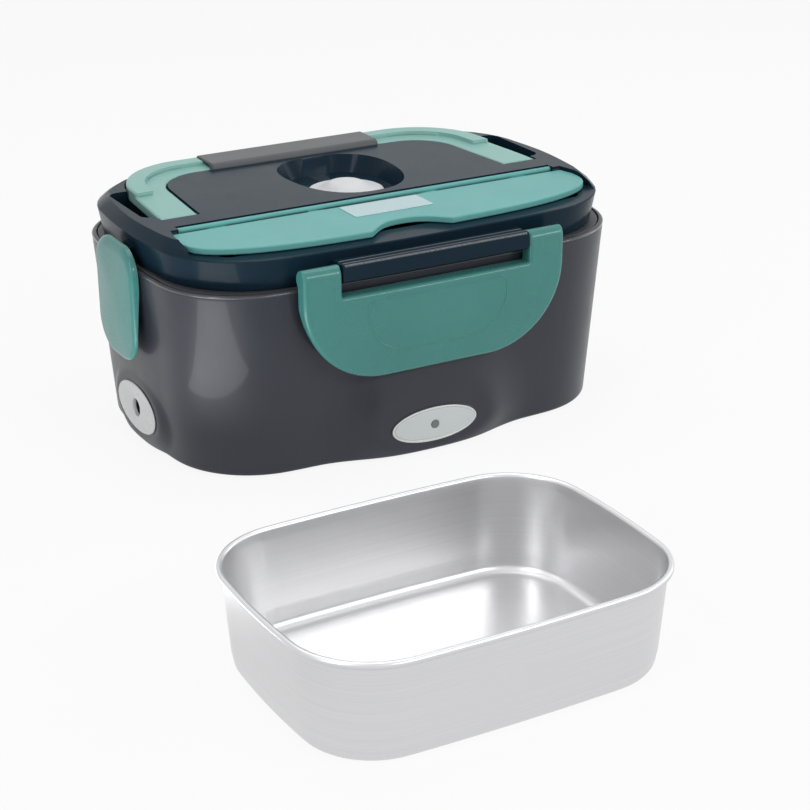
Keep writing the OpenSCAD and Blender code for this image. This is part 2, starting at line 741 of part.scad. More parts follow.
// Plan between two leaning sides, closed by a straight back with round corners
module leaning(reach, back, r, n = 16) {
    front_y = pivot_y - 20;
    cy = back - r;
    cx = lean_x(reach, cy) - r / cos(arm_lean);
    corner = [for (i = [0:n])
        let (a = arm_lean + (90 - arm_lean) * i / n) [cx + r * cos(a), cy + r * sin(a)]];
    polygon(concat(
        [[lean_x(reach, front_y), front_y]], corner,
        [for (i = [n:-1:0]) [-corner[i][0], corner[i][1]]],
        [[-lean_x(reach, front_y), front_y]]));
}

// Plan of the handle, grown by grow
module handle_outer(grow) intersection() {
    leaning(arm_out + grow / cos(arm_lean), handle_back + grow, handle_r + grow);
    translate([-200, pivot_y - grow]) square([400, 300]);
}
module handle_inner(grow)
    leaning(arm_in - grow / cos(arm_lean), rail_in - grow, handle_r - arm_w + 4 - grow);
module handle_plan(grow) difference() { handle_outer(grow); handle_inner(grow); }

handle_gap = 0.8;
rear_cut_y = rail_in - handle_gap;
grip_half = grip_l / 2;
grip_front = rail_in - 1.5;
grip_back = handle_back + 1.5;
grip_gap = 0.5;

// Open rear of the lid, with a step forward for the grip
rear_half = arm_in - 24;
module rear_plan(grow) {
    translate([-rear_half - grow, rear_cut_y - grow]) square([2 * (rear_half + grow), 100]);
    translate([-grip_half - grip_gap - grow, grip_front - grip_gap - grow])
        square([grip_l + 2 * (grip_gap + grow), 60]);
}
front_wall_y = pivot_y - pivot_end_r - gap;
pocket_y0 = -3.5;
pocket_x0 = arm_out - 7;
pocket_x1 = arm_out + pocket_w;

module pocket_plan(grow) both_x() translate([pocket_x0 - grow, pocket_y0 - grow])
    translate([(pocket_x1 - pocket_x0) / 2 + grow, pocket_l / 2 + grow])
        round_rect((pocket_x1 - pocket_x0) / 2 + grow, pocket_l / 2 + grow, 5 + grow);

// Outline of the finger well about its own middle: an oval, a little wider towards the rear
well_a = 28.5;
well_b = 34.5;
well_y = 17;
function well_outline(grow, power = 2.4, n = 48) = [for (i = [0:n - 1])
    let (c = cos(360 * i / n), s = sin(360 * i / n), e = 2 / power,
         y = (well_b + grow) * sign(s) * pow(abs(s), e))
    [(well_a + grow) * sign(c) * pow(abs(c), e) * (1 + 0.003 * y), y]];
module well_form(grow, foot, z0, z1)
    translate([well_x, well_y, 0]) hull() {
        translate([0, 0, z1]) linear_extrude(eps) polygon(well_outline(grow));
        translate([0, 0, z0]) linear_extrude(eps) polygon(well_outline(grow - foot));
    }

comp_half = cover_half - 11;
comp_y0 = -cover_front + 7.5;
comp_y1 = -cover_rear - 6;
module compartment_plan(grow) translate([0, (comp_y0 + comp_y1) / 2])
    round_rect(comp_half + grow, (comp_y1 - comp_y0) / 2 + grow, 6 + grow);

lid_boss_x = 66;
lid_boss_r = 3.6;
module lid_boss_places() both_x() for (y = [-10, 40]) translate([lid_boss_x, y, 0]) children();

// Walls and floors that stand inside the hollow lid
module lid_blocks() {
    translate([0, 0, plate_top - 5]) linear_extrude(20) compartment_plan(lid_wall);
    translate([-200, -100, seat_z - lid_wall]) cube([400, 100 + barrel_wall_y + lid_wall, 20]);
    translate([0, 0, channel_z - lid_wall]) linear_extrude(20) {
        handle_plan(handle_gap + lid_wall);
        rear_plan(lid_wall);
    }
    translate([0, 0, pocket_z - lid_wall]) linear_extrude(20) pocket_plan(lid_wall + 1);
    both_x() translate([arm_out, front_wall_y - 4, channel_z - lid_wall]) cube([20, 12, 20]);
    well_form(lid_wall, 4, well_z - lid_wall, lid_top);
    lid_boss_places() cylinder(r = lid_boss_r, h = 200);
}

latch_axis_z = case_h + latch_axis_up;
long_axis = half_w + latch_out - 4.6;
side_axis = half_l + side_latch_out - 3.5;
bar_root = lid_b - lid_foot_in - 1.6;
bar_front = long_axis + 3.6;
bar_top = latch_axis_z + 4.8;

// Lug bar with its undercut and a shallow groove along its top, seen from its own side
groove_deep = 0.5;
module lug_bar(half, root, front) along_x(-half, half) polygon([
    [-root, bar_top], [-front + 5.2, bar_top], [-front + 4.8, bar_top - groove_deep],
    [-front + 2.6, bar_top - groove_deep], [-front + 2.2, bar_top], [-front + 0.6, bar_top],
    [-front, bar_top - 0.6], [-front, latch_axis_z - 2.8],
    [-front + 2.4, latch_axis_z - 4], [-root, latch_axis_z - 4]]);

side_lug_r = 1.5;
module side_lug() {
    bar_x(side_lug_r, -lug_half, lug_half, -side_axis, latch_axis_z);
    translate([-lug_half, -side_axis, latch_axis_z - side_lug_r])
        cube([2 * lug_half, side_axis - lid_a + 3, 2 * side_lug_r]);
}

module lid_shell() color(dark_slate) difference() {
    union() {
        difference() {
            lid_form(0, 0, 0);
            difference() {
                lid_form(lid_wall, lid_wall, 1);
                lid_blocks();
            }
        }
        lug_bar(bar_half, bar_root, bar_front);
        to_rear() lug_bar(bar_half, bar_root, bar_front);
        to_left() side_lug();
        to_right() side_lug();
    }
    // seat for the inner plate, open below
    translate([0, 0, lid_z0 - 2]) linear_extrude(plate_top - lid_z0 + 2)
        polygon(bowed(seat_a, seat_b, lid_r - lid_wall, case_bow));
    // cover seat and cutlery compartment
    translate([0, 0, seat_z]) linear_extrude(20) cover_region();
    translate([0, 0, compartment_z]) linear_extrude(20) compartment_plan(0);
    // handle channel, finger pockets and the open rear
    translate([0, 0, channel_z]) linear_extrude(20) {
        intersection() {
            handle_plan(handle_gap);
            translate([-200, front_wall_y]) square([400, 200]);
        }
        rear_plan(0);
        both_x() translate([arm_in - handle_gap, front_wall_y]) square([arm_w + 2 * handle_gap, 12]);
    }
    translate([0, 0, pocket_z]) linear_extrude(30) pocket_plan(0);
    // finger well and steam vent
    well_form(0, 4, well_z, lid_top + 1);
    translate([well_x, vent_y, 0]) cylinder(r = stem_r + 0.2, h = 200);
    // bores
    both_x() {
        bar_x(handle_pin_r + pin_gap, arm_in - 4, arm_out + 5, pivot_y, pivot_z);
        bar_x(cover_pin_r + pin_gap, barrel_half - 1, barrel_half + 5, barrel_y, barrel_z);
    }
    for (turn = [0, 180]) rotate([0, 0, turn])
        bar_x(latch_pin_r + pin_gap, -bar_half - 1, bar_half + 1, -long_axis, latch_axis_z);
    for (turn = [90, -90]) rotate([0, 0, turn])
        bar_x(side_pin_r + pin_gap, -lug_half - 1, lug_half + 1, -side_axis, latch_axis_z);
    lid_boss_places() translate([0, 0, plate_top - 1]) cylinder(r = screw_r + pin_gap, h = 9);
}

seal_mid_a = cavity_a + 6;
seal_mid_b = cavity_b + 2.8;
rib_t = 1.5;
rib_z = plate_z - 1.6;
seal_z = flange_top + gap;
seal_corner = cavity_r + 5;
module lid_inner_plate() color("whitesmoke") difference() {
    union() {
        translate([0, 0, plate_z]) linear_extrude(plate_t)
            polygon(bowed(seat_a - gap, seat_b - gap, lid_r - lid_wall - gap, case_bow));
        grow = seal_w / 2 + 0.2;
        round_ring(seal_mid_a + grow + rib_t, seal_mid_b + grow + rib_t, seal_corner + grow + rib_t,
                   rib_t, rib_z, 1.7);
        round_ring(seal_mid_a - grow, seal_mid_b - grow, seal_corner - grow, rib_t, rib_z, 1.7);
    }
    translate([well_x, vent_y, 0]) cylinder(r = 3, h = 200);
    lid_boss_places() cylinder(r = screw_r + 0.2, h = 200);
}

module lid_seal() color("lightgray")
    round_ring(seal_mid_a + seal_w / 2, seal_mid_b + seal_w / 2, seal_corner + seal_w / 2,
               seal_w, seal_z, plate_z - seal_z);

module lid_screws() color(steel)
    lid_boss_places() translate([0, 0, plate_z]) pan_screw(9);

module handle_pins() color(steel)
    both_x() bar_x(handle_pin_r, arm_in - 3, arm_out + 4.5, pivot_y, pivot_z);

module cover_hinge_pins() color(steel)
    both_x() bar_x(cover_pin_r, barrel_half - 5, barrel_half + 4.5, barrel_y, barrel_z);

long_pin_half = bar_half + 10;
side_pin_half = lug_half + 7;
module long_latch_pins() color(steel)
    for (turn = [0, 180]) rotate([0, 0, turn])
        bar_x(latch_pin_r, -long_pin_half, long_pin_half, -long_axis, latch_axis_z);

module side_latch_pins() color(steel)
    for (turn = [90, -90]) rotate([0, 0, turn])
        bar_x(side_pin_r, -side_pin_half, side_pin_half, -side_axis, latch_axis_z);

// ---- latches, each drawn as if at the front --------------------------------

// Face of a latch in X and Z
module latch_face(half, top, r_low, inset = 0) intersection() {
    union() {
        translate([-half + r_low, latch_bottom + inset]) square([2 * (half - r_low), 80]);
        translate([-half + inset, latch_bottom + r_low]) square([2 * (half - inset), 80]);
        for (s = [-1, 1]) translate([s * (half - r_low), latch_bottom + r_low]) circle(r_low - inset);
    }
    translate([-200, 0]) square([400, top]);
}

// The long latch: two prongs round the lug bar, a hollow shell below them
prong_r = 4.6;
long_face = long_axis + prong_r;
long_back = half_w + 0.4;
slot_z = latch_axis_z - 9.8;
lip_back = ledge_tip + gap;
hook_z = ledge_z - 0.6;
hook_h = 3;
hook_half = ledge_half - 2;
slot_half = bar_half + 0.6;

module long_latch() difference() {
    union() {
        difference() {
            intersection() {
                along_y(-long_face - 1, -long_axis + prong_r + 1)
                    latch_face(long_latch_half, latch_axis_z + prong_r, latch_r);
                along_x(-long_latch_half - 1, long_latch_half + 1) {
                    translate([-long_axis, latch_axis_z]) circle(prong_r);
                    polygon([[-long_face, latch_axis_z], [-long_face, 0], [-lip_back, 0],
                             [-lip_back, hook_z + 6], [-long_back, slot_z - 4],
                             [-long_back, case_h + 1], [-long_axis + prong_r, latch_axis_z]]);
                }
            }
            // slot for the lug bar
            translate([-slot_half, -long_face - 5, slot_z])
                cube([2 * slot_half, 20, 40]);
            // hollow behind the skin, below the slot
            along_y(-long_face + latch_skin, -half_w + 10) intersection() {
                latch_face(long_latch_half, slot_z - latch_skin, latch_r, latch_skin);
                translate([-200, 0]) square([400, 200]);
            }
        }
        along_x(-hook_half, hook_half) polygon([
            [-long_face + latch_skin - 0.5, hook_z], [-lip_back, hook_z],
            [-lip_back, hook_z - 1], [-long_face + latch_skin - 0.5, hook_z - hook_h]]);
    }
    bar_x(latch_pin_r + 0.07, -long_pin_half - 0.4, long_pin_half + 0.4, -long_axis, latch_axis_z);
}

// The side latch: one plate with a slot at its back for the lid's lug
side_prong_r = 3;
lip_r = 1.6;
lip_up = 4.4;
side_face = half_l + side_latch_out;
side_back = half_l + 0.4;
side_lip = side_ledge_tip + gap;
lug_slot_r = side_lug_r + 0.3;
side_top = latch_axis_z + lip_up;

// Face of the side latch in X and Z, round at all four corners
module side_outline() {
    low = latch_bottom + side_latch_r;
    high = side_top - side_top_r;
    translate([-side_latch_half, low]) square([2 * side_latch_half, high - low]);
    translate([-side_latch_half + side_latch_r, latch_bottom])
        square([2 * (side_latch_half - side_latch_r), side_latch_r + 1]);
    translate([-side_latch_half + side_top_r, high - 1])
        square([2 * (side_latch_half - side_top_r), side_top_r + 1]);
    for (s = [-1, 1]) {
        translate([s * (side_latch_half - side_latch_r), low]) circle(side_latch_r);
        translate([s * (side_latch_half - side_top_r), high]) circle(side_top_r);
    }
}

module side_latch() difference() {
    union() {
        difference() {
            intersection() {
                along_y(-side_face - 1, -side_axis + side_prong_r + 1) side_outline();
                along_x(-side_latch_half - 1, side_latch_half + 1) {
                    translate([-side_axis, latch_axis_z]) circle(side_prong_r);
                    translate([-side_face + lip_r, side_top - lip_r]) circle(lip_r);
                    translate([-side_face, latch_axis_z - 2]) square([2 * lip_r, 2 + lip_up - lip_r]);
                    polygon([[-side_face, latch_axis_z], [-side_face, 0], [-side_lip, 0],
                             [-side_lip, hook_z + 6], [-side_back, slot_z - 4],
                             [-side_back, case_h + 1], [-side_axis + side_prong_r, latch_axis_z],
                             [-side_axis, latch_axis_z]]);
                }
            }
            // room for the lug, open at the back and the top
            bar_x(lug_slot_r, -lug_half - 0.4, lug_half + 0.4, -side_axis, latch_axis_z);
            translate([-lug_half - 0.4, -side_axis - lug_slot_r, latch_axis_z])
                cube([2 * lug_half + 0.8, 20, 20]);
            translate([-lug_half - 0.4, -side_axis, latch_axis_z - lug_slot_r])
                cube([2 * lug_half + 0.8, 20, 20]);
            // hollow behind the skin
            along_y(-side_face + latch_skin - 0.3, -half_l + 10)
                latch_face(side_latch_half, slot_z - 1, side_latch_r, latch_skin);
        }
        along_x(-side_ledge_half + 2, side_ledge_half - 2) polygon([
            [-side_face + latch_skin - 0.8, hook_z], [-side_lip, hook_z],
            [-side_lip, hook_z - 1], [-side_face + latch_skin - 0.8, hook_z - hook_h]]);
    }
    bar_x(side_pin_r + 0.07, -side_pin_half - 0.4, side_pin_half + 0.4, -side_axis, latch_axis_z);
}

module front_latch() color(teal) long_latch();
module rear_latch() color(teal) to_rear() long_latch();
module left_latch() color(teal) to_left() side_latch();
module right_latch() color(teal) to_right() side_latch();

// ---- handle ----------------------------------------------------------------

core_y0 = rail_in + 3;
core_y1 = handle_back - 2.5;
core_z0 = strap_z + 2;
core_z1 = strap_top + 0.6;
grip_top = strap_top + ridge_h + 0.8;

module handle_bail() color(pale_teal) difference() {
    union() {
        // arms and rail, the arms' ends round about the pivot
        intersection() {
            translate([0, 0, strap_z - 1]) linear_extrude(strap_t + 2) difference() {
                leaning(arm_out, handle_back, handle_r);
                handle_inner(0);
            }
            along_x(-arm_out - 5, arm_out + 5) translate([pivot_y, pivot_z]) {
                circle(pivot_end_r);
                translate([0, -pivot_end_r]) square([200, strap_t]);
            }
        }
        // ridge along the rear
        translate([0, 0, strap_top - eps]) linear_extrude(ridge_h) intersection() {
            difference() { handle_outer(0); handle_outer(-9); }
            translate([-200, 30]) square([400, 100]);
        }
    }
    difference() {
        translate([-grip_half, rail_in - 1, 0]) cube([grip_l, 60, 200]);
        translate([-200, core_y0, core_z0]) cube([400, core_y1 - core_y0, core_z1 - core_z0]);
    }
    both_x() bar_x(handle_pin_r + 0.07, arm_in - 1, arm_out + 1, pivot_y, pivot_z);
}

module handle_grip() color("dimgray") difference() {
    along_x(-grip_half, grip_half)
        translate([(grip_front + grip_back) / 2, (strap_z + grip_top) / 2])
            round_rect((grip_back - grip_front) / 2, (grip_top - strap_z) / 2, 3);
    translate([-200, core_y0, core_z0]) cube([400, core_y1 - core_y0, core_z1 - core_z0]);
}

// ---- cutlery cover ---------------------------------------------------------

// Smooth bay w wide and depth deep, its mouth on y = 0
function bay(w, depth, n = 24) = concat([[w / 2, -5], [-w / 2, -5]], [for (i = [0:n])
    let (t = 2 * i / n - 1) [t * w / 2, depth * pow(1 - pow(abs(t), 2.6), 1.3)]]);

module cutlery_cover() color(pale_teal) difference() {
    union() {
        translate([0, 0, cover_z]) linear_extrude(cover_t) difference() {
            cover_outline();
            translate([-3, -cover_front]) polygon(bay(notch_w, notch_depth));
        }
        bar_x(barrel_r, -barrel_half, barrel_half, barrel_y, barrel_z);
        for (x = [-80, -30, 30, 80]) along_x(x - 4, x + 4) polygon([
            [-cover_rear - 2, cover_z + 0.1], [barrel_y + 0.6, cover_z + 0.1],
            [barrel_y + 0.6, barrel_z - 0.8], [barrel_y - 0.6, barrel_z - 0.8],
            [-cover_rear - 2, cover_z + 1.6]]);
    }
    both_x() bar_x(cover_pin_r + 0.07, barrel_half - 5.4, barrel_half + 1, barrel_y, barrel_z);
}

label_l = 41;
label_w = 17;
label_t = 0.3;
module cover_label() color("lightcyan")
    translate([0, -cover_rear - 2 - label_w / 2, 0])
        round_prism(label_l / 2, label_w / 2, 1, cover_top, label_t);

// ---- steam vent plug -------------------------------------------------------

plug_z = well_z + 0.2;
module vent_plug() color("white") translate([well_x, vent_y, 0]) rotate_extrude() polygon([
    [0, plug_z - 5.4], [stem_r - 0.8, plug_z - 5.4], [stem_r, plug_z - 4.4], [stem_r, plug_z],
    [plug_r, plug_z], [plug_r, plug_z + 0.8], [plug_r - 4, plug_z + 1.3],
    [plug_r - 7.5, plug_z + 2.8], [plug_r - 10, plug_z + 4.4], [plug_r - 12.5, plug_z + 5],
    [0, plug_z + 5.2]]);

// ---- food tray, lifted out and standing beside the case --------------------

rim_w = 2.6;
rim_h = 2.4;
module food_form(inset, z0)
    hull() {
        a = food_l / 2 - 1.8 - inset;
        b = food_w / 2 - 1.8 - inset;
        // radius drops towards the bottom; the last two levels round the bottom edge
        for (level = [[food_h, 0], [8, food_draft * (1 - 8 / food_h)],
                      [2.5, food_draft + 0.9], [0, food_draft + 4]])
            translate([0, 0, max(level[0], z0)]) linear_extrude(eps)
                polygon(bowed(a - level[1], b - level[1], food_r - 1.8 - inset - level[1] / 2, 0.8));
    }

module food_container() color(steel) translate([food_x, food_y, -foot_drop]) difference() {
    union() {
        food_form(0, 0);
        round_prism(food_l / 2, food_w / 2, food_r, food_h - rim_h, rim_h);
    }
    translate([0, 0, food_t]) food_form(food_t, 0);
    round_prism(food_l / 2 - rim_w, food_w / 2 - rim_w, food_r - rim_w, food_h - 0.5, 5);
}

housing();
cavity_liner();
heating_tray();
heating_element();
insulation_pad();
heater_clamp();
clamp_screws();
thermostat();
thermal_fuse();
control_board();
board_screws();
indicator_led();
indicator_bezel();
indicator_lens();
inlet_bezel();
inlet_socket();
inlet_contacts();
live_wire();
neutral_wire();
link_wire();
lamp_wires();
base_cover();
base_screws();
rubber_feet();
lid_shell();
lid_inner_plate();
lid_seal();
lid_screws();
handle_pins();
cover_hinge_pins();
long_latch_pins();
side_latch_pins();
front_latch();
rear_latch();
left_latch();
right_latch();
handle_bail();
handle_grip();
cutlery_cover();
cover_label();
vent_plug();
food_container();
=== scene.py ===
"""Looks of a heated lunch box: case, lid, latches, handle, cutlery cover, vent plug and steel food tray.

Metres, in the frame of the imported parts: +X along the case, +Y to the back, +Z up.
"""
import json
import math

import bmesh
import bpy
import numpy as np
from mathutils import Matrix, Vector

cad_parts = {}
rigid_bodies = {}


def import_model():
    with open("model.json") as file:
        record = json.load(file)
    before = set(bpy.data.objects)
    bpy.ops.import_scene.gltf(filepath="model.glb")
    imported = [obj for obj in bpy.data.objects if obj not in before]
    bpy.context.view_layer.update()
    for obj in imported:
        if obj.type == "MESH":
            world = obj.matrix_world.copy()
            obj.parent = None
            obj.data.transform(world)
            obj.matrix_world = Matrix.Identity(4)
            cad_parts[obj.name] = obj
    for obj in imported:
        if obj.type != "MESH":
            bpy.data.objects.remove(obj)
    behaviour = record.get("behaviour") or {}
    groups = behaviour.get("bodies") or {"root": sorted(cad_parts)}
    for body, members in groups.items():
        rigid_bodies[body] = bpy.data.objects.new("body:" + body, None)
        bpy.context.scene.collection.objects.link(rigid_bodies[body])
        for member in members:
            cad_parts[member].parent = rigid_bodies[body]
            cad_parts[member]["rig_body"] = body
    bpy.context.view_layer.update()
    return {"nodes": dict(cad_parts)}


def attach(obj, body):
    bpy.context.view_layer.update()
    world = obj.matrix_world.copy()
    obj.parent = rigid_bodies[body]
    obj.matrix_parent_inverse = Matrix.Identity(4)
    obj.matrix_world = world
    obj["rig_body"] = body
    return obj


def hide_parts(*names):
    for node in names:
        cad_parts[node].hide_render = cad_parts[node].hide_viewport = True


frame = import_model()
MM = 0.001

# ---- sizes in millimetres ---------------------------------------------------

# Case: half sides, height, corner radius, lean of each side towards the foot, bow of each side, wall.
CASE_HALF = np.array([117.5, 78.8])
CASE_H, CASE_R, CASE_DRAFT, CASE_BOW, WALL = 89.0, 43.0, 5.4, 1.8, 2.4
LEDGE_Z = 59.0
RIM_BEAD_DROP, RIM_BEAD_INSET = 1.1, 0.35

# Ovals of the lamp and the inlet: distance out, height and half axes. Round each runs a thin black bead,
# which is painted shade of the gap round its bezel.
LAMP_FACE, LAMP_Z, LAMP_HALF = 82.0, 13.2, (22.5, 8.5)
INLET_FACE, INLET_Z, INLET_HALF, INLET_HOLE = 114.1, 16.0, (22.5, 11.5), 4.3
BEZEL_HOLE, WINDOW_HOLE = 2.05, 2.1
SHADOW_RING_R, SHADOW_RING_GAP = 0.42, 0.2

# Domes that carry the ovals, each in its zone of the wall: further out than, and less far aside than.
# Behind the inlet's plate the wall makes a pocket.
LAMP_ZONE, INLET_ZONE = (60.0, 70.0), (90.0, 40.0)
DOME_FLAT, DOME_TURN = 2.0, 4.8
LAMP_BLEND, INLET_BLEND = 5.0, 0.8
POCKET_DEPTH, POCKET_GAP, POCKET_STEP = 16.0, 0.4, 1.6

# Food tray: middle, half sides, height, corner radius and height of its bottom. The floor is just below.
TRAY_PLACE = np.array([-94.0, -252.0])
TRAY_HALF = np.array([79.0, 59.5])
TRAY_H, TRAY_R, TRAY_Z = 43.0, 34.0, -1.2
FLOOR_Z = TRAY_Z - 0.1

# Long latches: face, hinge pin, prong round the pin, half length, and the crown of the face.
LATCH_FACE, LATCH_HALF = 86.8, 67.0
PIN_OUT, PIN_Z, PRONG_R, PRONG_START, PRONG_NEAR = 82.2, 94.4, 4.6, 0.6, 0.08
CROWN_TOP, CROWN_LENGTH, CROWN_DEPTH, SIDE_CROWN, FOOT_CROWN = 76.0, 32.0, 4.0, 0.7, 1.1
CUT_STEP = 3.0
SIDE_FACE = 122.8

# Lid: rim, finger well with the vent in it, and the lug bars' beads as distance out, height and radius.
RIM_CORNER, RIM_R, RIM_FRONT, RIM_END = (74.5, 35.8), 32.0, 66.0, 104.0
WELL_CENTRE, WELL_HALF, WELL_TOP, WELL_FLOOR = (6.0, 17.0), (29.0, 35.0), 107.0, 99.5
VENT = (6.0, 14.0)
LUG_BEAD_HALF = 47.0
LUG_BEADS = ((85.22, 98.62, 0.65), (83.2, 98.95, 0.5), (79.6, 98.95, 0.5))

# ---- shares, counts, angles in degrees, and the picture in pixels -----------

DOME_SLOPE = 0.667
LAMP_WIDEN, LAMP_STRETCH = 0.85, 0.5
INNER_SHARE = 0.25
OVAL_SIDES = 128
SMOOTH_ANGLE, EDGE_ANGLE = 38.0, 32.0
IMAGE_SIZE, FOCAL_PIXELS = 810.0, 2000.0
OPTICAL_CENTRE = (413.7, 403.7)


# ---- shader maths -----------------------------------------------------------

class Value:
    """A number or colour that a shader computes. Arithmetic on it adds Math nodes."""

    def __init__(self, shader, socket):
        self.shader, self.socket = shader, socket

    def _math(self, operation, first, second):
        return self.shader.node("ShaderNodeMath", {"operation": operation}, [first, second])

    def __add__(self, other):
        return self._math("ADD", self, other)

    def __mul__(self, other):
        return self._math("MULTIPLY", self, other)

    def __sub__(self, other):
        return self._math("SUBTRACT", self, other)

    def __rsub__(self, other):
        return self._math("SUBTRACT", other, self)

    def __truediv__(self, other):
        return self._math("DIVIDE", self, other)

    __radd__ = __add__
    __rmul__ = __mul__

    def clip(self):
        """The value, held between 0 and 1."""
        return self.shader.node("ShaderNodeClamp", {}, [self, 0.0, 1.0])

    def above(self, low, high):
        """0 below low, 1 above high and a straight line between."""
        return ((self - low) / (high - low)).clip()


class Shader:
    """The nodes of a material or world. One method adds them, and plain numbers go onto their sockets."""

    def __init__(self, owner):
        owner.use_nodes = True
        self.owner, self.tree = owner, owner.node_tree
        self.tree.nodes.clear()
        self.place = self.node("ShaderNodeTexCoord", {}, [], "Object")

    def _feed(self, socket, value):
        if isinstance(value, Value):
            self.tree.links.new(value.socket, socket)
        elif value is not None:
            if not np.isscalar(value) and socket.type == "RGBA":
                value = (*value, 1.0)[:4]
            socket.default_value = value

    def node(self, kind, settings, values, out=0):
        """One node: its settings first, then the values or links of its sockets, by number or by name."""
        node = self.tree.nodes.new(kind)
        for key, value in settings.items():
            setattr(node, key, value)
        pairs = values.items() if isinstance(values, dict) else enumerate(values)
        for key, value in pairs:
            self._feed(node.inputs[key], value)
        return Value(self, node.outputs[out]) if node.outputs else None

    def noise(self, scale, detail, stretch=None, place=None):
        """Cloudy noise with a scale per metre, closer along each axis by the factors in stretch."""
        place = place or self.place
        if stretch:
            place = self.node("ShaderNodeMapping", {}, {"Vector": place, "Scale": stretch})
        return self.node("ShaderNodeTexNoise", {}, {
            "Vector": place, "Scale": scale, "Detail": detail}, "Fac")

    def mix(self, factor, first, second):
        """Colour between first and second by factor. The numbers are the Mix node's colour sockets."""
        return self.node("ShaderNodeMix", {"data_type": "RGBA"}, {0: factor, 6: first, 7: second}, 2)

    def bump(self, height, distance, strength):
        """Normal of a relief whose height of 1 stands for a distance in metres."""
        return self.node("ShaderNodeBump", {}, {
            "Height": height, "Distance": distance, "Strength": strength}, "Normal")

    def done(self, **sockets):
        """Principled surface with the given sockets, such as base_color or roughness."""
        names = {key.replace("_", " ").title(): value for key, value in sockets.items()}
        names = {key.replace("Ior", "IOR"): value for key, value in names.items()}
        surface = self.node("ShaderNodeBsdfPrincipled", {}, names, "BSDF")
        self.node("ShaderNodeOutputMaterial", {}, {"Surface": surface})
        return self.owner


def moulded(name, colour, rough, grain, depth, cloud, coat=0.0, coat_rough=0.15, shine=0.5):
    """Injection-moulded plastic: faint clouding of the colour, a fine eroded grain and rubbed patches.

    grain counts grains per metre, depth is in metres, and shine is the reflection under the coat.
    """
    s = Shader(bpy.data.materials.new(name))
    colour = np.array(colour, float)
    clouds = s.noise(22.0, 3.0).above(0.3, 0.7)
    specks = s.noise(grain, 2.0)
    rubbed = s.noise(65.0, 4.0).above(0.35, 0.75)
    tone = s.mix(clouds, colour * (1 - cloud), colour * (1 + cloud))
    tone = s.mix((specks - 0.5).clip() * 0.5, tone, colour * 1.5)
    return s.done(base_color=tone, roughness=rough - 0.05 + rubbed * 0.08 + specks * 0.04,
                  coat_weight=coat, coat_roughness=coat_rough, specular_ior_level=shine,
                  normal=s.bump(specks + s.noise(170.0, 2.0) * 0.35, depth, 0.5))


def soft_rubber(name, colour, rough, grain=2300.0):
    """Matt rubber or silicone: a dusty, finely pitted skin."""
    s = Shader(bpy.data.materials.new(name))
    colour = np.array(colour, float)
    pits = s.noise(grain, 2.0)
    dust = s.noise(90.0, 5.0).above(0.42, 0.8)
    tone = s.mix(dust * 0.35, colour, colour * 0.55 + 0.45 * np.array([0.5, 0.5, 0.5]) * (0.3 + colour))
    return s.done(base_color=tone, roughness=rough + dust * 0.10, sheen_weight=0.15, sheen_roughness=0.5,
                  normal=s.bump(pits, 0.00003, 0.6))


def brushed(name, colour, rough, along, depth, flow):
    """Brushed sheet metal: long hairlines and broad soft variation of the shine.

    along gives the hairs per metre each way, across the sheet's flow map or the object's own axes.
    """
    s = Shader(bpy.data.materials.new(name))
    colour = np.array(colour, float)
    place = s.node("ShaderNodeUVMap", {"uv_map": "flow"}, [], "UV") if flow else s.place
    hair = s.noise(1.0, 2.0, along, place)
    broad = s.noise(9.0, 2.0)
    tone = s.mix(hair.above(0.3, 0.7), colour * 0.97, colour * 1.03)
    return s.done(base_color=tone, metallic=1.0, normal=s.bump(hair, depth, 0.6),
                  roughness=rough + (hair - 0.5) * 0.05 + (broad - 0.5) * 0.08)


def machined(name, colour, rough):
    """Small metal parts: turned or plated, with fine scratches every way."""
    s = Shader(bpy.data.materials.new(name))
    colour = np.array(colour, float)
    scratch = s.noise(1.0, 4.0, (900.0, 2600.0, 1700.0))
    stain = s.noise(140.0, 3.0).above(0.4, 0.75)
    return s.done(base_color=s.mix(stain * 0.5, colour, colour * 0.82), metallic=1.0,
                  roughness=rough + scratch * 0.12 + stain * 0.08, normal=s.bump(scratch, 0.000008, 0.5))


def felted(name, colour):
    """Glass-fibre pad: a loose felt of pale fibres."""
    s = Shader(bpy.data.materials.new(name))
    colour = np.array(colour, float)
    lengthwise = s.noise(1.0, 5.0, (420.0, 1500.0, 1500.0))
    crosswise = s.noise(1.0, 5.0, (1500.0, 420.0, 1500.0))
    fibre = lengthwise * 0.6 + crosswise * 0.6
    return s.done(base_color=s.mix(fibre.above(0.4, 0.8), colour * 0.7, colour), roughness=0.95,
                  sheen_weight=0.3, normal=s.bump(fibre, 0.0003, 0.8))


def board_green(name, colour):
    """Lamp board: green lacquer over faint copper tracks that run on a 2 mm raster."""
    s = Shader(bpy.data.materials.new(name))
    colour = np.array(colour, float)
    track = s.node("ShaderNodeTexBrick", {"offset": 0.5}, {
        "Vector": s.place, "Color1": (0.0, 0.0, 0.0), "Color2": (1.0, 1.0, 1.0), "Mortar": (0.5, 0.5, 0.5),
        "Scale": 260.0, "Mortar Size": 0.06}, "Fac")
    return s.done(base_color=s.mix(track, colour, colour * 2.2), roughness=0.3 + track * 0.1,
                  normal=s.bump(track, 0.00004, 0.6))


# ---- surfaces ---------------------------------------------------------------

def show(name, mesh, material, body, replaces=()):
    """Puts a finished mesh into the scene on its body, in place of the nodes that it replaces."""
    mesh.name = name
    piece = bpy.data.objects.new(name, mesh)
    bpy.context.scene.collection.objects.link(piece)
    mesh.materials.clear()
    mesh.materials.append(material)
    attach(piece, body)
    if replaces:
        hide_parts(*replaces)
    return piece


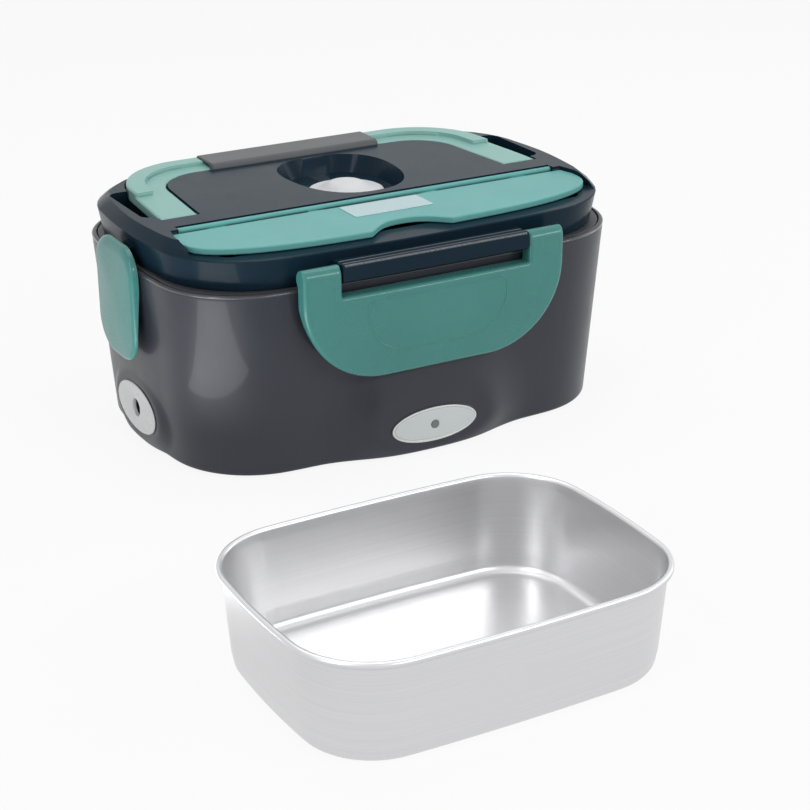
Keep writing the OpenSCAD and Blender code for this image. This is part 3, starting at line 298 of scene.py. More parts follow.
def surface(points, wrap_v=False):
    """Mesh of a grid of points in millimetres, rows along v and columns along u.

    Each row is a closed loop, wrap_v joins the last row to the first, and each cell is one quad. The UV
    map flow holds the lengths along u and v in metres, so a pattern follows the sheet. Points that fall
    together, as at a pole, become one.
    """
    rows, cols = points.shape[:2]
    jv, ju = np.meshgrid(np.arange(rows if wrap_v else rows - 1), np.arange(cols), indexing="ij")
    corner = [(jv, ju), (jv, ju + 1), (jv + 1, ju + 1), (jv + 1, ju)]
    faces = np.stack([(v % rows) * cols + u % cols for v, u in corner], -1).reshape(-1, 4)
    step_u = np.linalg.norm(np.roll(points, -1, 1) - points, axis=2).max(0)
    step_v = np.linalg.norm(np.roll(points, -1, 0) - points, axis=2).max(1)
    length_u = np.concatenate([[0], np.cumsum(step_u)]) * MM
    length_v = np.concatenate([[0], np.cumsum(step_v)]) * MM
    flow = np.stack([np.stack([length_u[u], length_v[v]], -1) for v, u in corner], 2).reshape(-1, 2)
    mesh = bpy.data.meshes.new("surface")
    mesh.vertices.add(rows * cols)
    mesh.vertices.foreach_set("co", (points * MM).astype(np.float32).ravel())
    mesh.loops.add(faces.size)
    mesh.loops.foreach_set("vertex_index", faces.astype(np.int32).ravel())
    mesh.polygons.add(len(faces))
    mesh.polygons.foreach_set("loop_start", np.arange(len(faces), dtype=np.int32) * 4)
    mesh.uv_layers.new(name="flow").data.foreach_set("uv", flow.astype(np.float32).ravel())
    mesh.update(calc_edges=True)
    return tidy(mesh)


def tidy(mesh):
    """Merges points that fall together, turns faces outwards and shades smooth across shallow angles."""
    work = bmesh.new()
    work.from_mesh(mesh)
    bmesh.ops.remove_doubles(work, verts=work.verts, dist=1e-6)
    bmesh.ops.dissolve_degenerate(work, edges=work.edges, dist=1e-7)
    bmesh.ops.recalc_face_normals(work, faces=work.faces)
    work.to_mesh(mesh)
    work.free()
    mesh.polygons.foreach_set("use_smooth", np.ones(len(mesh.polygons), bool))
    mesh.set_sharp_from_angle(angle=math.radians(SMOOTH_ANGLE))
    return mesh


def bowed_loop(half, radius, bow, per_arc, per_side):
    """Closed outlines with half sides (a, b), round corners and sides that bow out, one per row of half.

    A point is corner centre times (e) plus radius times the normal (n) plus bow times (g): e runs from
    -1 to 1 along a side, n turns a quarter in a corner, and g is 1 - e squared on a side. Each corner
    has per_arc points and each side per_side points.
    """
    arc = np.radians(np.linspace(0, 90, per_arc, endpoint=False))
    run = np.linspace(1, -1, per_side, endpoint=False)
    e, n, g = [], [], []
    for turn in range(4):
        cx, cy = [(1, 1), (-1, 1), (-1, -1), (1, -1)][turn]
        start = math.radians(90 * turn)
        e.append(np.tile([cx, cy], (per_arc, 1)))
        n.append(np.stack([np.cos(arc + start), np.sin(arc + start)], 1))
        g.append(np.zeros((per_arc, 2)))
        side = np.array([[0, 1], [-1, 0], [0, -1], [1, 0]][turn], float)
        along = np.array([[cx, cy]] * per_side, float)
        axis = 0 if turn % 2 == 0 else 1
        along[:, axis] = (cx if axis == 0 else cy) * run
        e.append(along)
        n.append(np.tile(side, (per_side, 1)))
        g.append(side * (1 - run ** 2)[:, None])
    e, n, g = (np.concatenate(part) for part in (e, n, g))
    half = np.atleast_2d(half)[:, None, :]
    radius = np.atleast_1d(radius)[:, None, None]
    return e * (half - bow - radius) + n * radius + g * bow


def softened(loop, width=3):
    """Rounds the small kinks of closed outlines by a circular running mean along each, applied twice."""
    for _ in range(2):
        loop = sum(np.roll(loop, k, 1) for k in range(-width, width + 1)) / (2 * width + 1)
    return loop


def ringed(outlines, heights):
    """Grid whose rows are outlines in X and Y, each at its own height."""
    z = np.broadcast_to(np.asarray(heights, float)[:, None, None], (*outlines.shape[:2], 1))
    return np.concatenate([outlines, z], 2)


def full_turn(count):
    """Evenly spaced angles of a whole turn in radians."""
    return np.linspace(0, 2 * np.pi, count, endpoint=False)


def turned(grid, angle):
    """Points turned by an angle in degrees about the upright axis through the origin."""
    c, s = math.cos(math.radians(angle)), math.sin(math.radians(angle))
    x, y, z = grid[..., 0], grid[..., 1], grid[..., 2]
    return np.stack([c * x - s * y, s * x + c * y, z], -1)


def eased_step(x):
    """0 below 0, 1 above 1, and between them x cubed times (6 x squared - 15 x + 10), a smooth S."""
    x = np.clip(x, 0, 1)
    return x * x * x * (x * (6 * x - 15) + 10)


def arc_points(cx, cy, r, a0, a1, n):
    """Points on an arc about (cx, cy) from angle a0 to a1 in degrees."""
    a = np.radians(np.linspace(a0, a1, n))
    return np.stack([cx + r * np.cos(a), cy + r * np.sin(a)], 1)


def swept(path, radius, sides, closed=True):
    """Round bead of a radius along a path of points in millimetres: a circle carried square to the path."""
    path = np.asarray(path, float)
    if closed:
        tangent = np.roll(path, -1, 0) - np.roll(path, 1, 0)
    else:
        tangent = np.gradient(path, axis=0)
    tangent /= np.linalg.norm(tangent, axis=1)[:, None]
    lean = np.array([0.17, 0.93, 0.33])  # a direction that no path here follows
    across = np.cross(tangent, lean)
    across /= np.linalg.norm(across, axis=1)[:, None]
    up = np.cross(tangent, across)
    a = full_turn(sides)
    size = np.full(len(path), float(radius))
    if not closed:
        path = np.concatenate([path[:1], path, path[-1:]])
        across, up = (np.concatenate([v[:1], v, v[-1:]]) for v in (across, up))
        size = np.concatenate([[0], size, [0]])
    ring = across[:, None] * np.cos(a)[:, None] + up[:, None] * np.sin(a)[:, None]
    return surface(path[:, None] + ring * size[:, None, None], closed)


def lathed(profile, centre, sides):
    """Profile of (radius, height) turned about an upright axis through centre."""
    a = full_turn(sides)
    profile = np.asarray(profile, float)
    x = centre[0] + profile[:, :1] * np.cos(a)
    y = centre[1] + profile[:, :1] * np.sin(a)
    return surface(np.stack([x, y, np.broadcast_to(profile[:, 1:], x.shape)], 2))


def eased(node, material, width, segments=3, share=None, clamp=False, spare=2.1):
    """Copy of a node with its flat faces made whole and its edges rounded by width millimetres.

    An edge is rounded where both of its faces reach more than spare times its width away from it.
    share says by an edge's middle which part of the width it gets, from 0 to 1. clamp narrows the
    roundings where they would meet.
    """
    source = frame["nodes"][node]
    mesh = source.data.copy()
    work = bmesh.new()
    work.from_mesh(mesh)
    bmesh.ops.remove_doubles(work, verts=work.verts, dist=2e-6)
    bmesh.ops.dissolve_limit(work, angle_limit=math.radians(0.4), verts=work.verts, edges=work.edges,
                             use_dissolve_boundaries=False, delimit=set())
    weight = work.edges.layers.float.new("bevel_weight_edge")
    for edge in work.edges:
        if len(edge.link_faces) == 2 and edge.calc_face_angle(0) > math.radians(EDGE_ANGLE):
            room = min(face.calc_area() for face in edge.link_faces) / max(edge.calc_length(), 1e-9)
            middle = (edge.verts[0].co + edge.verts[1].co) / (2 * MM)
            part = share(*middle) if share else 1.0
            edge[weight] = part if room > spare * part * width * MM else 0.0
    work.to_mesh(mesh)
    work.free()
    mesh.polygons.foreach_set("use_smooth", np.ones(len(mesh.polygons), bool))
    mesh.set_sharp_from_angle(angle=math.radians(EDGE_ANGLE))
    piece = show(node + "_finish", mesh, material, source["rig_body"], (node,))
    if width:
        bevel = piece.modifiers.new("edge", "BEVEL")
        bevel.width = width * MM
        bevel.segments = segments
        bevel.limit_method = "WEIGHT"
        bevel.use_clamp_overlap = clamp
        bevel.miter_outer = "MITER_ARC"
    level = piece.modifiers.new("level", "WEIGHTED_NORMAL")
    level.weight = 80
    level.keep_sharp = True
    return piece


# ---- finishes ---------------------------------------------------------------

charcoal = moulded("charcoal_case", (0.030, 0.033, 0.045), rough=0.40, grain=1300.0, depth=0.00002,
                   cloud=0.06, coat=0.20, coat_rough=0.08, shine=0.30)
slate = moulded("slate_lid", (0.009, 0.025, 0.041), rough=0.24, grain=1700.0, depth=0.000003,
                cloud=0.06, coat=0.06, coat_rough=0.05, shine=0.05)
sea = moulded("sea_green_latch", (0.056, 0.250, 0.228), rough=0.26, grain=1600.0, depth=0.000001,
              cloud=0.05, coat=0.15, coat_rough=0.06, shine=0.35)
pale_sea = moulded("pale_green_cover", (0.175, 0.500, 0.475), rough=0.34, grain=1500.0, depth=0.000012,
                   cloud=0.04, shine=0.12)
mint = moulded("mint_handle", (0.290, 0.550, 0.500), rough=0.34, grain=1500.0, depth=0.000012,
               cloud=0.04, shine=0.2)
grip_grey = soft_rubber("grip_sleeve", (0.075, 0.080, 0.088), 0.5)
white = moulded("white_moulding", (0.78, 0.79, 0.79), rough=0.28, grain=1800.0, depth=0.00001,
                cloud=0.02, coat=0.2, coat_rough=0.1)
lens_grey = moulded("lamp_window", (0.68, 0.72, 0.72), rough=0.34, grain=2200.0, depth=0.00001,
                    cloud=0.03)
lamp_dot = moulded("lamp_dot", (0.16, 0.18, 0.17), rough=0.2, grain=2000.0, depth=0.00001, cloud=0.05,
                   coat=0.3, coat_rough=0.1)
film = moulded("film_patch", (0.46, 0.66, 0.69), rough=0.22, grain=2400.0, depth=0.000006, cloud=0.05,
               coat=0.3, coat_rough=0.08)
silicone = soft_rubber("white_silicone", (0.84, 0.85, 0.87), 0.5, 2600.0)
black_rubber = soft_rubber("black_rubber", (0.022, 0.022, 0.023), 0.7)
liner_black = moulded("liner_plastic", (0.060, 0.062, 0.067), rough=0.5, grain=1100.0, depth=0.00004,
                      cloud=0.08)
plate_white = moulded("plate_plastic", (0.72, 0.72, 0.71), rough=0.4, grain=1500.0, depth=0.00002,
                      cloud=0.02)
inside_black = moulded("black_moulding", (0.018, 0.018, 0.020), rough=0.32, grain=1800.0, depth=0.00002,
                       cloud=0.1)
tray_steel = brushed("food_tray_steel", (0.66, 0.66, 0.67), rough=0.34, along=(6.0, 1400.0, 1.0),
                     depth=0.000001, flow=True)
warm_plate = brushed("warming_plate", (0.72, 0.73, 0.74), rough=0.34, along=(2200.0, 18.0, 1.0),
                     depth=0.000008, flow=False)
heater_metal = machined("heater_block", (0.60, 0.61, 0.63), 0.40)
pin_metal = machined("pin_steel", (0.55, 0.55, 0.57), 0.26)
screw_metal = machined("screw_steel", (0.60, 0.60, 0.60), 0.32)
clamp_metal = machined("clamp_steel", (0.62, 0.62, 0.60), 0.36)
brass = machined("contact_brass", (0.72, 0.50, 0.20), 0.25)
felt = felted("fibre_pad", (0.80, 0.76, 0.62))
sleeve = moulded("fuse_sleeve", (0.74, 0.73, 0.68), rough=0.6, grain=900.0, depth=0.00004, cloud=0.05)
board = board_green("lamp_board", (0.012, 0.110, 0.045))
brown_wire = soft_rubber("brown_sleeve", (0.120, 0.040, 0.015), 0.45)
blue_wire = soft_rubber("blue_sleeve", (0.015, 0.075, 0.300), 0.45)
red_wire = soft_rubber("red_sleeve", (0.340, 0.012, 0.012), 0.45)


# ---- case -------------------------------------------------------------------

def case_outline(z, inset):
    """Outlines of the case at heights z, each set in by its own inset. They lean in towards the foot."""
    half = CASE_HALF[None, :] - CASE_DRAFT * (1 - z[:, None] / CASE_H)
    return softened(bowed_loop(half - inset[:, None], CASE_R - inset, CASE_BOW, 40, 90))


def oval_reach(x, z, half):
    """How far in millimetres both half axes of an ellipse have to grow for it to pass through (x, z).

    The growth is negative inside the ellipse. It is found by halving an interval forty times.
    """
    low = np.full(np.shape(x), -min(half) + 0.01)
    high = np.full(np.shape(x), 300.0)
    for _ in range(40):
        middle = (low + high) / 2
        beyond = (x / (half[0] + middle)) ** 2 + (z / (half[1] + middle)) ** 2 > 1
        low, high = np.where(beyond, middle, low), np.where(beyond, high, middle)
    return (low + high) / 2


def swollen(wall, reach, face, blend):
    """Wall drawn out to a soft dome: flat to DOME_FLAT past the oval, then falling away along a hyperbola.

    Dome and wall are joined by the polynomial smooth maximum, which acts within blend millimetres.
    """
    past = np.maximum(reach - DOME_FLAT, 0)
    dome = face - DOME_SLOPE * (np.sqrt(past ** 2 + DOME_TURN ** 2) - DOME_TURN)
    share = np.clip(0.5 + 0.5 * (dome - wall) / blend, 0, 1)
    return wall * (1 - share) + dome * share + blend * share * (1 - share)


def case_surface():
    """Case wall as one closed profile carried round the bowed outline, with two swellings pushed out.

    The profile runs from the foot's rounded edge up the outside, over the rounded rim and down the
    inside. Round the lamp's oval and the inlet's the outer wall is drawn out by a soft dome. Behind the
    inlet's plate the whole wall steps back, which leaves the socket free.
    """
    foot_r = 1.6
    foot = [(z, foot_r - math.sqrt(max(0.0, foot_r ** 2 - (foot_r - z) ** 2)))
            for z in np.linspace(0.0, foot_r, 7)]
    low = [(z, 0.0) for z in np.linspace(2.4, 50.0, 60)]
    high = [(z, 0.0) for z in np.linspace(52.0, CASE_H - 3.4, 16)]
    rim = [(CASE_H - 2.9, 0.0), (CASE_H - 1.6, 0.0), (CASE_H - 1.1, 0.08), (CASE_H - 0.7, 0.24),
           (CASE_H - 0.35, 0.5), (CASE_H - 0.12, 0.85), (CASE_H, 1.3), (CASE_H, 2.0), (CASE_H - 0.3, 2.3)]
    inside = [(z, WALL) for z in np.linspace(CASE_H - 0.9, 0.0, 60)]
    profile = np.array(foot + low + high + rim + inside)
    z, inset = profile[:, 0], profile[:, 1]
    grid = ringed(case_outline(z, inset), z)
    outer = (np.arange(len(z)) < len(foot) + len(low) + len(high))[:, None]
    foot_inset = np.where(outer, inset[:, None], 0)
    x, y, zz = grid[..., 0], grid[..., 1], grid[..., 2]
    above = zz - LAMP_Z
    reach = oval_reach(x * LAMP_WIDEN, above * np.where(above > 0, LAMP_STRETCH, 1.0), LAMP_HALF)
    out = swollen(-y, reach, LAMP_FACE - foot_inset, LAMP_BLEND)
    y[:] = np.where(outer & (y < -LAMP_ZONE[0]) & (np.abs(x) < LAMP_ZONE[1]), -out, y)
    reach = oval_reach(y, zz - INLET_Z, INLET_HALF)
    out = swollen(-x, reach, INLET_FACE - foot_inset, INLET_BLEND)
    end = (x < -INLET_ZONE[0]) & (np.abs(y) < INLET_ZONE[1])
    x[:] = np.where(outer & end, -out, x)
    x += np.where(end, POCKET_DEPTH * eased_step((-reach - POCKET_GAP) / POCKET_STEP), 0)
    return surface(grid, True)


show("case_wall", case_surface(), charcoal, "base", ("housing",))


def wedge(section, start, end, turn):
    """Bar with a section of (distance out, height), drawn along the front from start to end, then turned.

    Towards both ends the section shrinks about its middle, to nothing at the last row.
    """
    section = np.array(section, float) * (-1, 1)
    along = np.array([start, start, start + 0.4, *np.linspace(start + 1, end - 1, 12), end - 0.4, end, end])
    shrink = np.array([0, 0.9, 0.97, *[1.0] * 12, 0.97, 0.9, 0])[:, None, None]
    rows = section.mean(0) + (section - section.mean(0)) * shrink
    along = np.broadcast_to(along[:, None, None], (len(along), len(section), 1))
    return surface(turned(np.concatenate([along, rows], 2), turn))


for name, half, root, tip, turn in (
        ("front_ledge", 38, 74.8, 82.4, 0), ("rear_ledge", 38, 74.8, 82.4, 180),
        ("left_ledge", 12, 113.5, 119.4, -90), ("right_ledge", 12, 113.5, 119.4, 90)):
    nose = [(root, LEDGE_Z - 3), (tip, LEDGE_Z + 0.1), (tip, LEDGE_Z + 0.6),
            (tip, LEDGE_Z + 1.9), (tip - 0.25, LEDGE_Z + 2.45), (root, LEDGE_Z + 3.4)]
    show(name, wedge(nose, -half, half, turn), charcoal, "base")


# ---- lamp window and inlet --------------------------------------------------

def oval_dish(half, centre_z, face, turn, profile, hole):
    """Closed oval plate: a profile of (inset, height out of the face) carried round an ellipse to its hole.

    The inset takes the same width off both half axes. The third number of a row says which part of
    the way to the hole it has gone.
    """
    a = full_turn(OVAL_SIDES)
    rows = []
    for inset, out, centre_share in profile:
        ex = (half[0] - inset) * np.cos(a)
        ez = (half[1] - inset) * np.sin(a)
        hx, hz = hole * np.cos(a), hole * np.sin(a)
        x = ex * (1 - centre_share) + hx * centre_share
        z = ez * (1 - centre_share) + hz * centre_share
        rows.append(np.stack([x, np.full_like(x, -(face + out)), centre_z + z], 1))
    return surface(turned(np.array(rows), turn), True)


bezel = [(0.1, -1.2, 0), (0.1, 0.0, 0), (0.12, 0.3, 0), (0.35, 0.52, 0), (0.7, 0.6, 0), (1.05, 0.52, 0),
         (1.28, 0.3, 0), (1.3, 0.0, 0), (1.3, 0.0, 1)]
show("lamp_bezel", oval_dish(LAMP_HALF, LAMP_Z, LAMP_FACE, 0, bezel, BEZEL_HOLE),
     white, "base", ("indicator_bezel",))
window = [(1.35, 0.0, 0), (1.36, 0.45, 0), (1.5, 0.6, 0), (1.8, 0.66, 0), (2.4, 0.68, 0), (2.4, 0.7, 0.5),
          (2.4, 0.7, 0.9), (2.4, 0.66, 0.985), (2.4, 0.5, 1)]
show("lamp_window", oval_dish(LAMP_HALF, LAMP_Z, LAMP_FACE, 0, window, WINDOW_HOLE),
     lens_grey, "base", ("indicator_lens",))
# Thin black beads round the lamp's and the inlet's ovals: painted shade of the gap round each bezel, not a
# moulded groove.
for name, half, height, face_at, turn in (
        ("lamp_shadow_ring", LAMP_HALF, LAMP_Z, LAMP_FACE, 0),
        ("inlet_shadow_ring", INLET_HALF, INLET_Z, INLET_FACE, -90)):
    a = full_turn(OVAL_SIDES)
    x, z = (half[0] + SHADOW_RING_GAP) * np.cos(a), height + (half[1] + SHADOW_RING_GAP) * np.sin(a)
    ring = turned(np.stack([x, np.full_like(x, -face_at), z], 1), turn)
    show(name, swept(ring, SHADOW_RING_R, 8), inside_black, "base")
surround = [(0.1, -1.2, 0), (0.1, 0.0, 0), (0.14, 0.32, 0), (0.5, 0.56, 0), (1.1, 0.6, 0), (1.1, 0.6, 0.5),
            (1.1, 0.6, 0.93), (1.1, 0.45, 0.985), (1.1, 0.1, 1), (1.1, -1.2, 1)]
show("inlet_surround", oval_dish(INLET_HALF, INLET_Z, INLET_FACE, -90, surround, INLET_HOLE),
     white, "base", ("inlet_bezel",))


# ---- food tray --------------------------------------------------------------

def tray_surface():
    """Steel tray as one closed sheet: bottom, leaning wall, rolled rim, and back down the inside.

    Each row is a rounded outline with its own inset and height; towards the middle of the bottom the
    rows shrink to a point. The bottom bead is a quarter circle and the rim is three quarters of one.
    """
    sheet, lip, draft, bow, bead, roll = 1.0, 1.8, 3.2, 0.8, 5.0, 1.35
    flat = draft + lip + bead
    bottom = [(0.0, flat, share) for share in (0.0, 0.35, 0.7, 0.9, 0.97)]
    outer = arc_points(0, bead, bead, -90, 0, 9)
    bend_out = [(float(z), flat - float(r), 1.0) for r, z in outer]
    wall_out = [(z, lip + draft * (1 - z / TRAY_H), 1.0)
                for z in np.linspace(bead + 3, TRAY_H - 3.2, 14)]
    rolled = [(TRAY_H - roll + float(s), roll - float(c), 1.0)
              for c, s in arc_points(0, 0, roll, -70, 180, 16)]
    wall_in = [(z, lip + sheet + draft * (1 - z / TRAY_H), 1.0)
               for z in np.linspace(TRAY_H - 3.0, bead + 3, 14)]
    inner = arc_points(0, bead, bead - sheet, 0, -90, 9)
    bend_in = [(float(z), flat - float(r), 1.0) for r, z in inner]
    back = [(sheet, flat, share) for share in (0.97, 0.9, 0.7, 0.35, 0.0)]
    profile = np.array(bottom + bend_out + wall_out + rolled + wall_in + bend_in + back)
    z, inset, share = profile.T
    corner = np.maximum(TRAY_R - inset * 0.9, 4.0)
    outline = softened(bowed_loop(TRAY_HALF - inset[:, None], corner, bow, 40, 40), 2)
    grid = ringed(outline * share[:, None, None] + TRAY_PLACE, z + TRAY_Z)
    return surface(grid)


show("food_tray_sheet", tray_surface(), tray_steel, "food_container", ("food_container",))


# ---- vent plug --------------------------------------------------------------

# Profile of (radius, height above plug_z): stem, flat disc with a rounded rim, and a raised middle.
plug_z = WELL_FLOOR + 0.2
plug = [(0, -5.4), (3.9, -5.4), (4.5, -5.1), (4.8, -4.4), (4.8, 0.0), (17.9, 0.0), (18.35, 0.2),
        (18.5, 0.5), (18.3, 0.85), (17.6, 0.98), (16.0, 1.12), (14.4, 1.32), (13.0, 1.7), (11.6, 2.4),
        (10.4, 3.2), (9.4, 3.9), (8.3, 4.5), (7.2, 4.85), (6.0, 5.02), (3.0, 5.14), (0, 5.18)]
show("vent_plug_turned", lathed([(r, plug_z + z) for r, z in plug], VENT, 96), silicone,
     "vent_plug", ("vent_plug",))


# ---- moulded parts with rounded edges ---------------------------------------

# Parts that keep the shape of their solids: finish, slot and how wide their edges are rounded.
FINISH = {
    "lid_shell": (slate, "lid_plastic", 0.8), "cutlery_cover": (pale_sea, "cover_plastic", 0.6),
    "handle_bail": (mint, "handle_plastic", 1.0), "handle_grip": (grip_grey, "grip_rubber", 0.6),
    "cover_label": (film, "label_film", 0.1), "cavity_liner": (liner_black, "liner_plastic", 0.5),
    "heating_tray": (warm_plate, "tray_aluminium", 0.3),
    "heating_element": (heater_metal, "heater_aluminium", 0.4),
    "insulation_pad": (felt, "insulation", 0.3), "heater_clamp": (clamp_metal, "clamp_steel", 0.2),
    "clamp_screws": (screw_metal, "screw_steel", 0.25), "board_screws": (screw_metal, "screw_steel", 0.15),
    "base_screws": (screw_metal, "screw_steel", 0.25), "lid_screws": (screw_metal, "screw_steel", 0.25),
    "thermostat": (inside_black, "black_moulding", 0.3), "thermal_fuse": (sleeve, "fuse_sleeve", 0.3),
    "control_board": (board, "board_laminate", 0.1), "indicator_led": (lamp_dot, "led_plastic", 0.15),
    "inlet_socket": (inside_black, "black_moulding", 0.2), "inlet_contacts": (brass, "contact_brass", 0.1),
    "live_wire": (brown_wire, "live_sleeve", 0), "link_wire": (brown_wire, "live_sleeve", 0),
    "neutral_wire": (blue_wire, "neutral_sleeve", 0), "lamp_wires": (red_wire, "lamp_sleeve", 0),
    "base_cover": (charcoal, "case_plastic", 0.4), "rubber_feet": (black_rubber, "black_rubber", 0.3),
    "lid_inner_plate": (plate_white, "white_plastic", 0.3), "lid_seal": (silicone, "white_silicone", 0.5),
    "handle_pins": (pin_metal, "pin_steel", 0.2), "cover_hinge_pins": (pin_metal, "pin_steel", 0.15),
    "long_latch_pins": (pin_metal, "pin_steel", 0.2), "side_latch_pins": (pin_metal, "pin_steel", 0.15),
}


def lid_edge(x, y, z):
    """1 for a lid edge on the rim, on a lug bar or round the finger well, otherwise 0."""
    corner = math.hypot(max(abs(x) - RIM_CORNER[0], 0), max(abs(y) - RIM_CORNER[1], 0))
    well = math.hypot((x - WELL_CENTRE[0]) / WELL_HALF[0], (y - WELL_CENTRE[1]) / WELL_HALF[1])
    rim = abs(y) > RIM_FRONT or abs(x) > RIM_END or corner > RIM_R
    return float(rim or (z > WELL_TOP and 0.9 < well < 1.1))


for node, (material, slot, width) in FINISH.items():
    lid = node == "lid_shell"
    eased(node, material, width, share=lid_edge if lid else None, clamp=lid)


# ---- polished beads on the lug bars and the case's rim -----------------------

slate_bead = moulded("slate_bead", (0.012, 0.028, 0.044), rough=0.16, grain=1700.0, depth=0.000001,
                     cloud=0.04, coat=1.0, coat_rough=0.10)
charcoal_bead = moulded("charcoal_bead", (0.030, 0.033, 0.045), rough=0.16, grain=1300.0,
                        depth=0.000001, cloud=0.04, coat=1.0, coat_rough=0.10)
along = np.linspace(-LUG_BEAD_HALF, LUG_BEAD_HALF, 40)
for place, side in (("front", -1), ("rear", 1)):
    for count, (out, height, radius) in enumerate(LUG_BEADS):
        path = np.stack([along, np.full_like(along, side * out), np.full_like(along, height)], 1)
        show(f"{place}_lug_bead_{count}", swept(path, radius, 12, False), slate_bead, "lid")
rim_z = np.array([CASE_H - RIM_BEAD_DROP])
rim_path = ringed(case_outline(rim_z, np.array([RIM_BEAD_INSET])), rim_z)[0]
show("case_rim_bead", swept(rim_path, 0.5, 12), charcoal_bead, "base")


# ---- raised lines on the long latches, and the side latches ------------------

def rounded_outline(corners, step=2.0):
    """Closed outline through arcs of (centre x, centre z, radius, start angle), a quarter circle each."""
    loop = np.concatenate([arc_points(x, z, r, start, start + 90, 20) for x, z, r, start in corners])
    steps = []
    for first, second in zip(loop, np.roll(loop, -1, 0)):
        count = max(1, int(np.linalg.norm(second - first) / step))
        steps.append(first + (second - first) * (np.arange(count) / count)[:, None])
    return np.concatenate(steps)


def face_edge(x, y, z):
    """1 for an edge on a long latch's front, less where it turns over the pin, otherwise INNER_SHARE.

    Over the pin the part above INNER_SHARE falls with the square of the distance out from the pin.
    """
    out, high = abs(y) - PIN_OUT, max(z - PIN_Z, 0)
    front = out > PRONG_START and abs(math.hypot(out, high) - PRONG_R) < PRONG_NEAR
    return INNER_SHARE + (1 - INNER_SHARE) * front * min(max(out / PRONG_R, 0), 1) ** 2


def crown(x, z):
    """How far a long latch's face is set back: by the square of x and that of the depth under CROWN_TOP."""
    below = np.maximum(CROWN_TOP - z, 0) / CROWN_LENGTH
    return SIDE_CROWN * (x / LATCH_HALF) ** 2 + FOOT_CROWN * below ** 2


def crowned(piece):
    """Fixes the rounded edges in the mesh, cuts it by evenly spaced planes and sets its front back.

    The set-back is that of crown on the face, and fades evenly to nothing at CROWN_DEPTH behind it.
    """
    bpy.context.view_layer.update()
    work = bmesh.new()
    work.from_object(piece, bpy.context.evaluated_depsgraph_get())
    for normal, first, last in (((1, 0, 0), -66.0, 66.5), ((0, 0, 1), 45.0, 84.0)):
        for place in np.arange(first, last, CUT_STEP):
            bmesh.ops.bisect_plane(work, geom=[*work.verts, *work.edges, *work.faces], dist=1e-5,
                                   plane_co=np.array(normal) * place * MM, plane_no=normal)
    work.to_mesh(piece.data)
    work.free()
    flat = np.empty(3 * len(piece.data.vertices), np.float32)
    piece.data.vertices.foreach_get("co", flat)
    points = flat.reshape(-1, 3).astype(float)
    x, y, z = points.T / MM
    near = np.clip(1 - (LATCH_FACE - np.abs(y)) / CROWN_DEPTH, 0, 1)
    points[:, 1] = np.copysign(np.abs(y) - near * crown(x, z), y) * MM
    piece.data.vertices.foreach_set("co", points.astype(np.float32).ravel())
    piece.data.update()
    piece.modifiers.remove(piece.modifiers["edge"])


for node in ("front_latch", "rear_latch"):
    crowned(eased(node, sea, 2.2, 5, share=face_edge, spare=0.4))
shield = rounded_outline([(32, 77, 4, 0), (-32, 77, 4, 90), (-16, 75, 20, 180), (16, 75, 20, 270)])
for name, body, side in (("front_latch_line", "front_latch", -1), ("rear_latch_line", "rear_latch", 1)):
    level = LATCH_FACE - 0.12 - crown(shield[:, 0], shield[:, 1])
    path = np.stack([shield[:, 0], side * level, shield[:, 1]], 1)
    show(name, swept(path, 0.4, 8), sea, body)


def latch_pad(turn):
    """Side latch as one closed skin: back edge, rounded rim, a low dome and back through the hollow inside.

    Each row is the outline moved in along its own normals, then drawn towards the middle by a share s,
    where the dome stands (1 - s) squared below its top. The rim is an elliptic quarter, deeper at the top.
    """
    corners = [(8.5, 85.8, 13, 0), (-8.5, 85.8, 13, 90), (-5.5, 59.6, 16, 180), (5.5, 59.6, 16, 270)]
    loop = rounded_outline(corners, 1.5)
    run = np.roll(loop, -1, 0) - np.roll(loop, 1, 0)
    normal = np.stack([run[:, 1], -run[:, 0]], 1) / np.linalg.norm(run, axis=1)[:, None]
    upper = np.maximum(normal[:, 1], 0) ** 2
    rim, drop, dome, skin = 2.4 + 3.6 * upper, 1.9 + 1.0 * upper, 0.9, 1.2
    back = np.interp(loop[:, 1], [60, 80], [119.7, 117.9]) - SIDE_FACE
    middle = np.array([0.0, 74.0])
    rows = [(0 * rim, back, 0.0)]
    for t in np.radians(np.linspace(0, 90, 9)):
        rows.append((rim * (1 - math.cos(t)), -dome - drop * (1 - math.sin(t)), 0.0))
    rows += [(rim, np.full(len(loop), -dome * (1 - s) ** 2), s) for s in np.linspace(0.06, 1, 16)]
    rows += [(rim, np.full(len(loop), -dome * (1 - s) ** 2 - skin), s) for s in np.linspace(1, 0.06, 10)]
    rows += [(0 * rim + 1.7, -dome - drop * 0.55 - skin, 0.0), (0 * rim + 1.6, back, 0.0)]
    grid = []
    for inset, out, share in rows:
        flat = (loop - normal * inset[:, None]) * (1 - share) + middle * share
        grid.append(np.stack([flat[:, 0], -(SIDE_FACE + out), flat[:, 1]], 1))
    return surface(turned(np.array(grid), turn), True)


for node, turn in (("left_latch", -90), ("right_latch", 90)):
    show(node + "_pad", latch_pad(turn), sea, node, (node,))
    hook = [(121.6, 55.4), (121.6, 58.4), (119.7, 58.4), (119.7, 57.4)]
    cheek = [(121.4, 92.4), (121.4, 96.2), (118.2, 95.9), (117.9, 95.4), (117.9, 93.2), (118.2, 92.7)]
    for part, section, start, end in (
            ("hook", hook, -10, 10), ("cheek_a", cheek, 5.4, 12.4), ("cheek_b", cheek, -12.4, -5.4)):
        show(f"{node}_{part}", wedge(section, start, end, turn), sea, node)


# ---- floor, light and camera ------------------------------------------------

def seen_directly(s):
    """1 on rays from the camera, also after mirroring or glass, and 0 on all other rays."""
    camera, glossy, through = (s.node("ShaderNodeLightPath", {}, [], f"Is {kind} Ray")
                               for kind in ("Camera", "Glossy", "Transmission"))
    return (camera + glossy + through).clip()


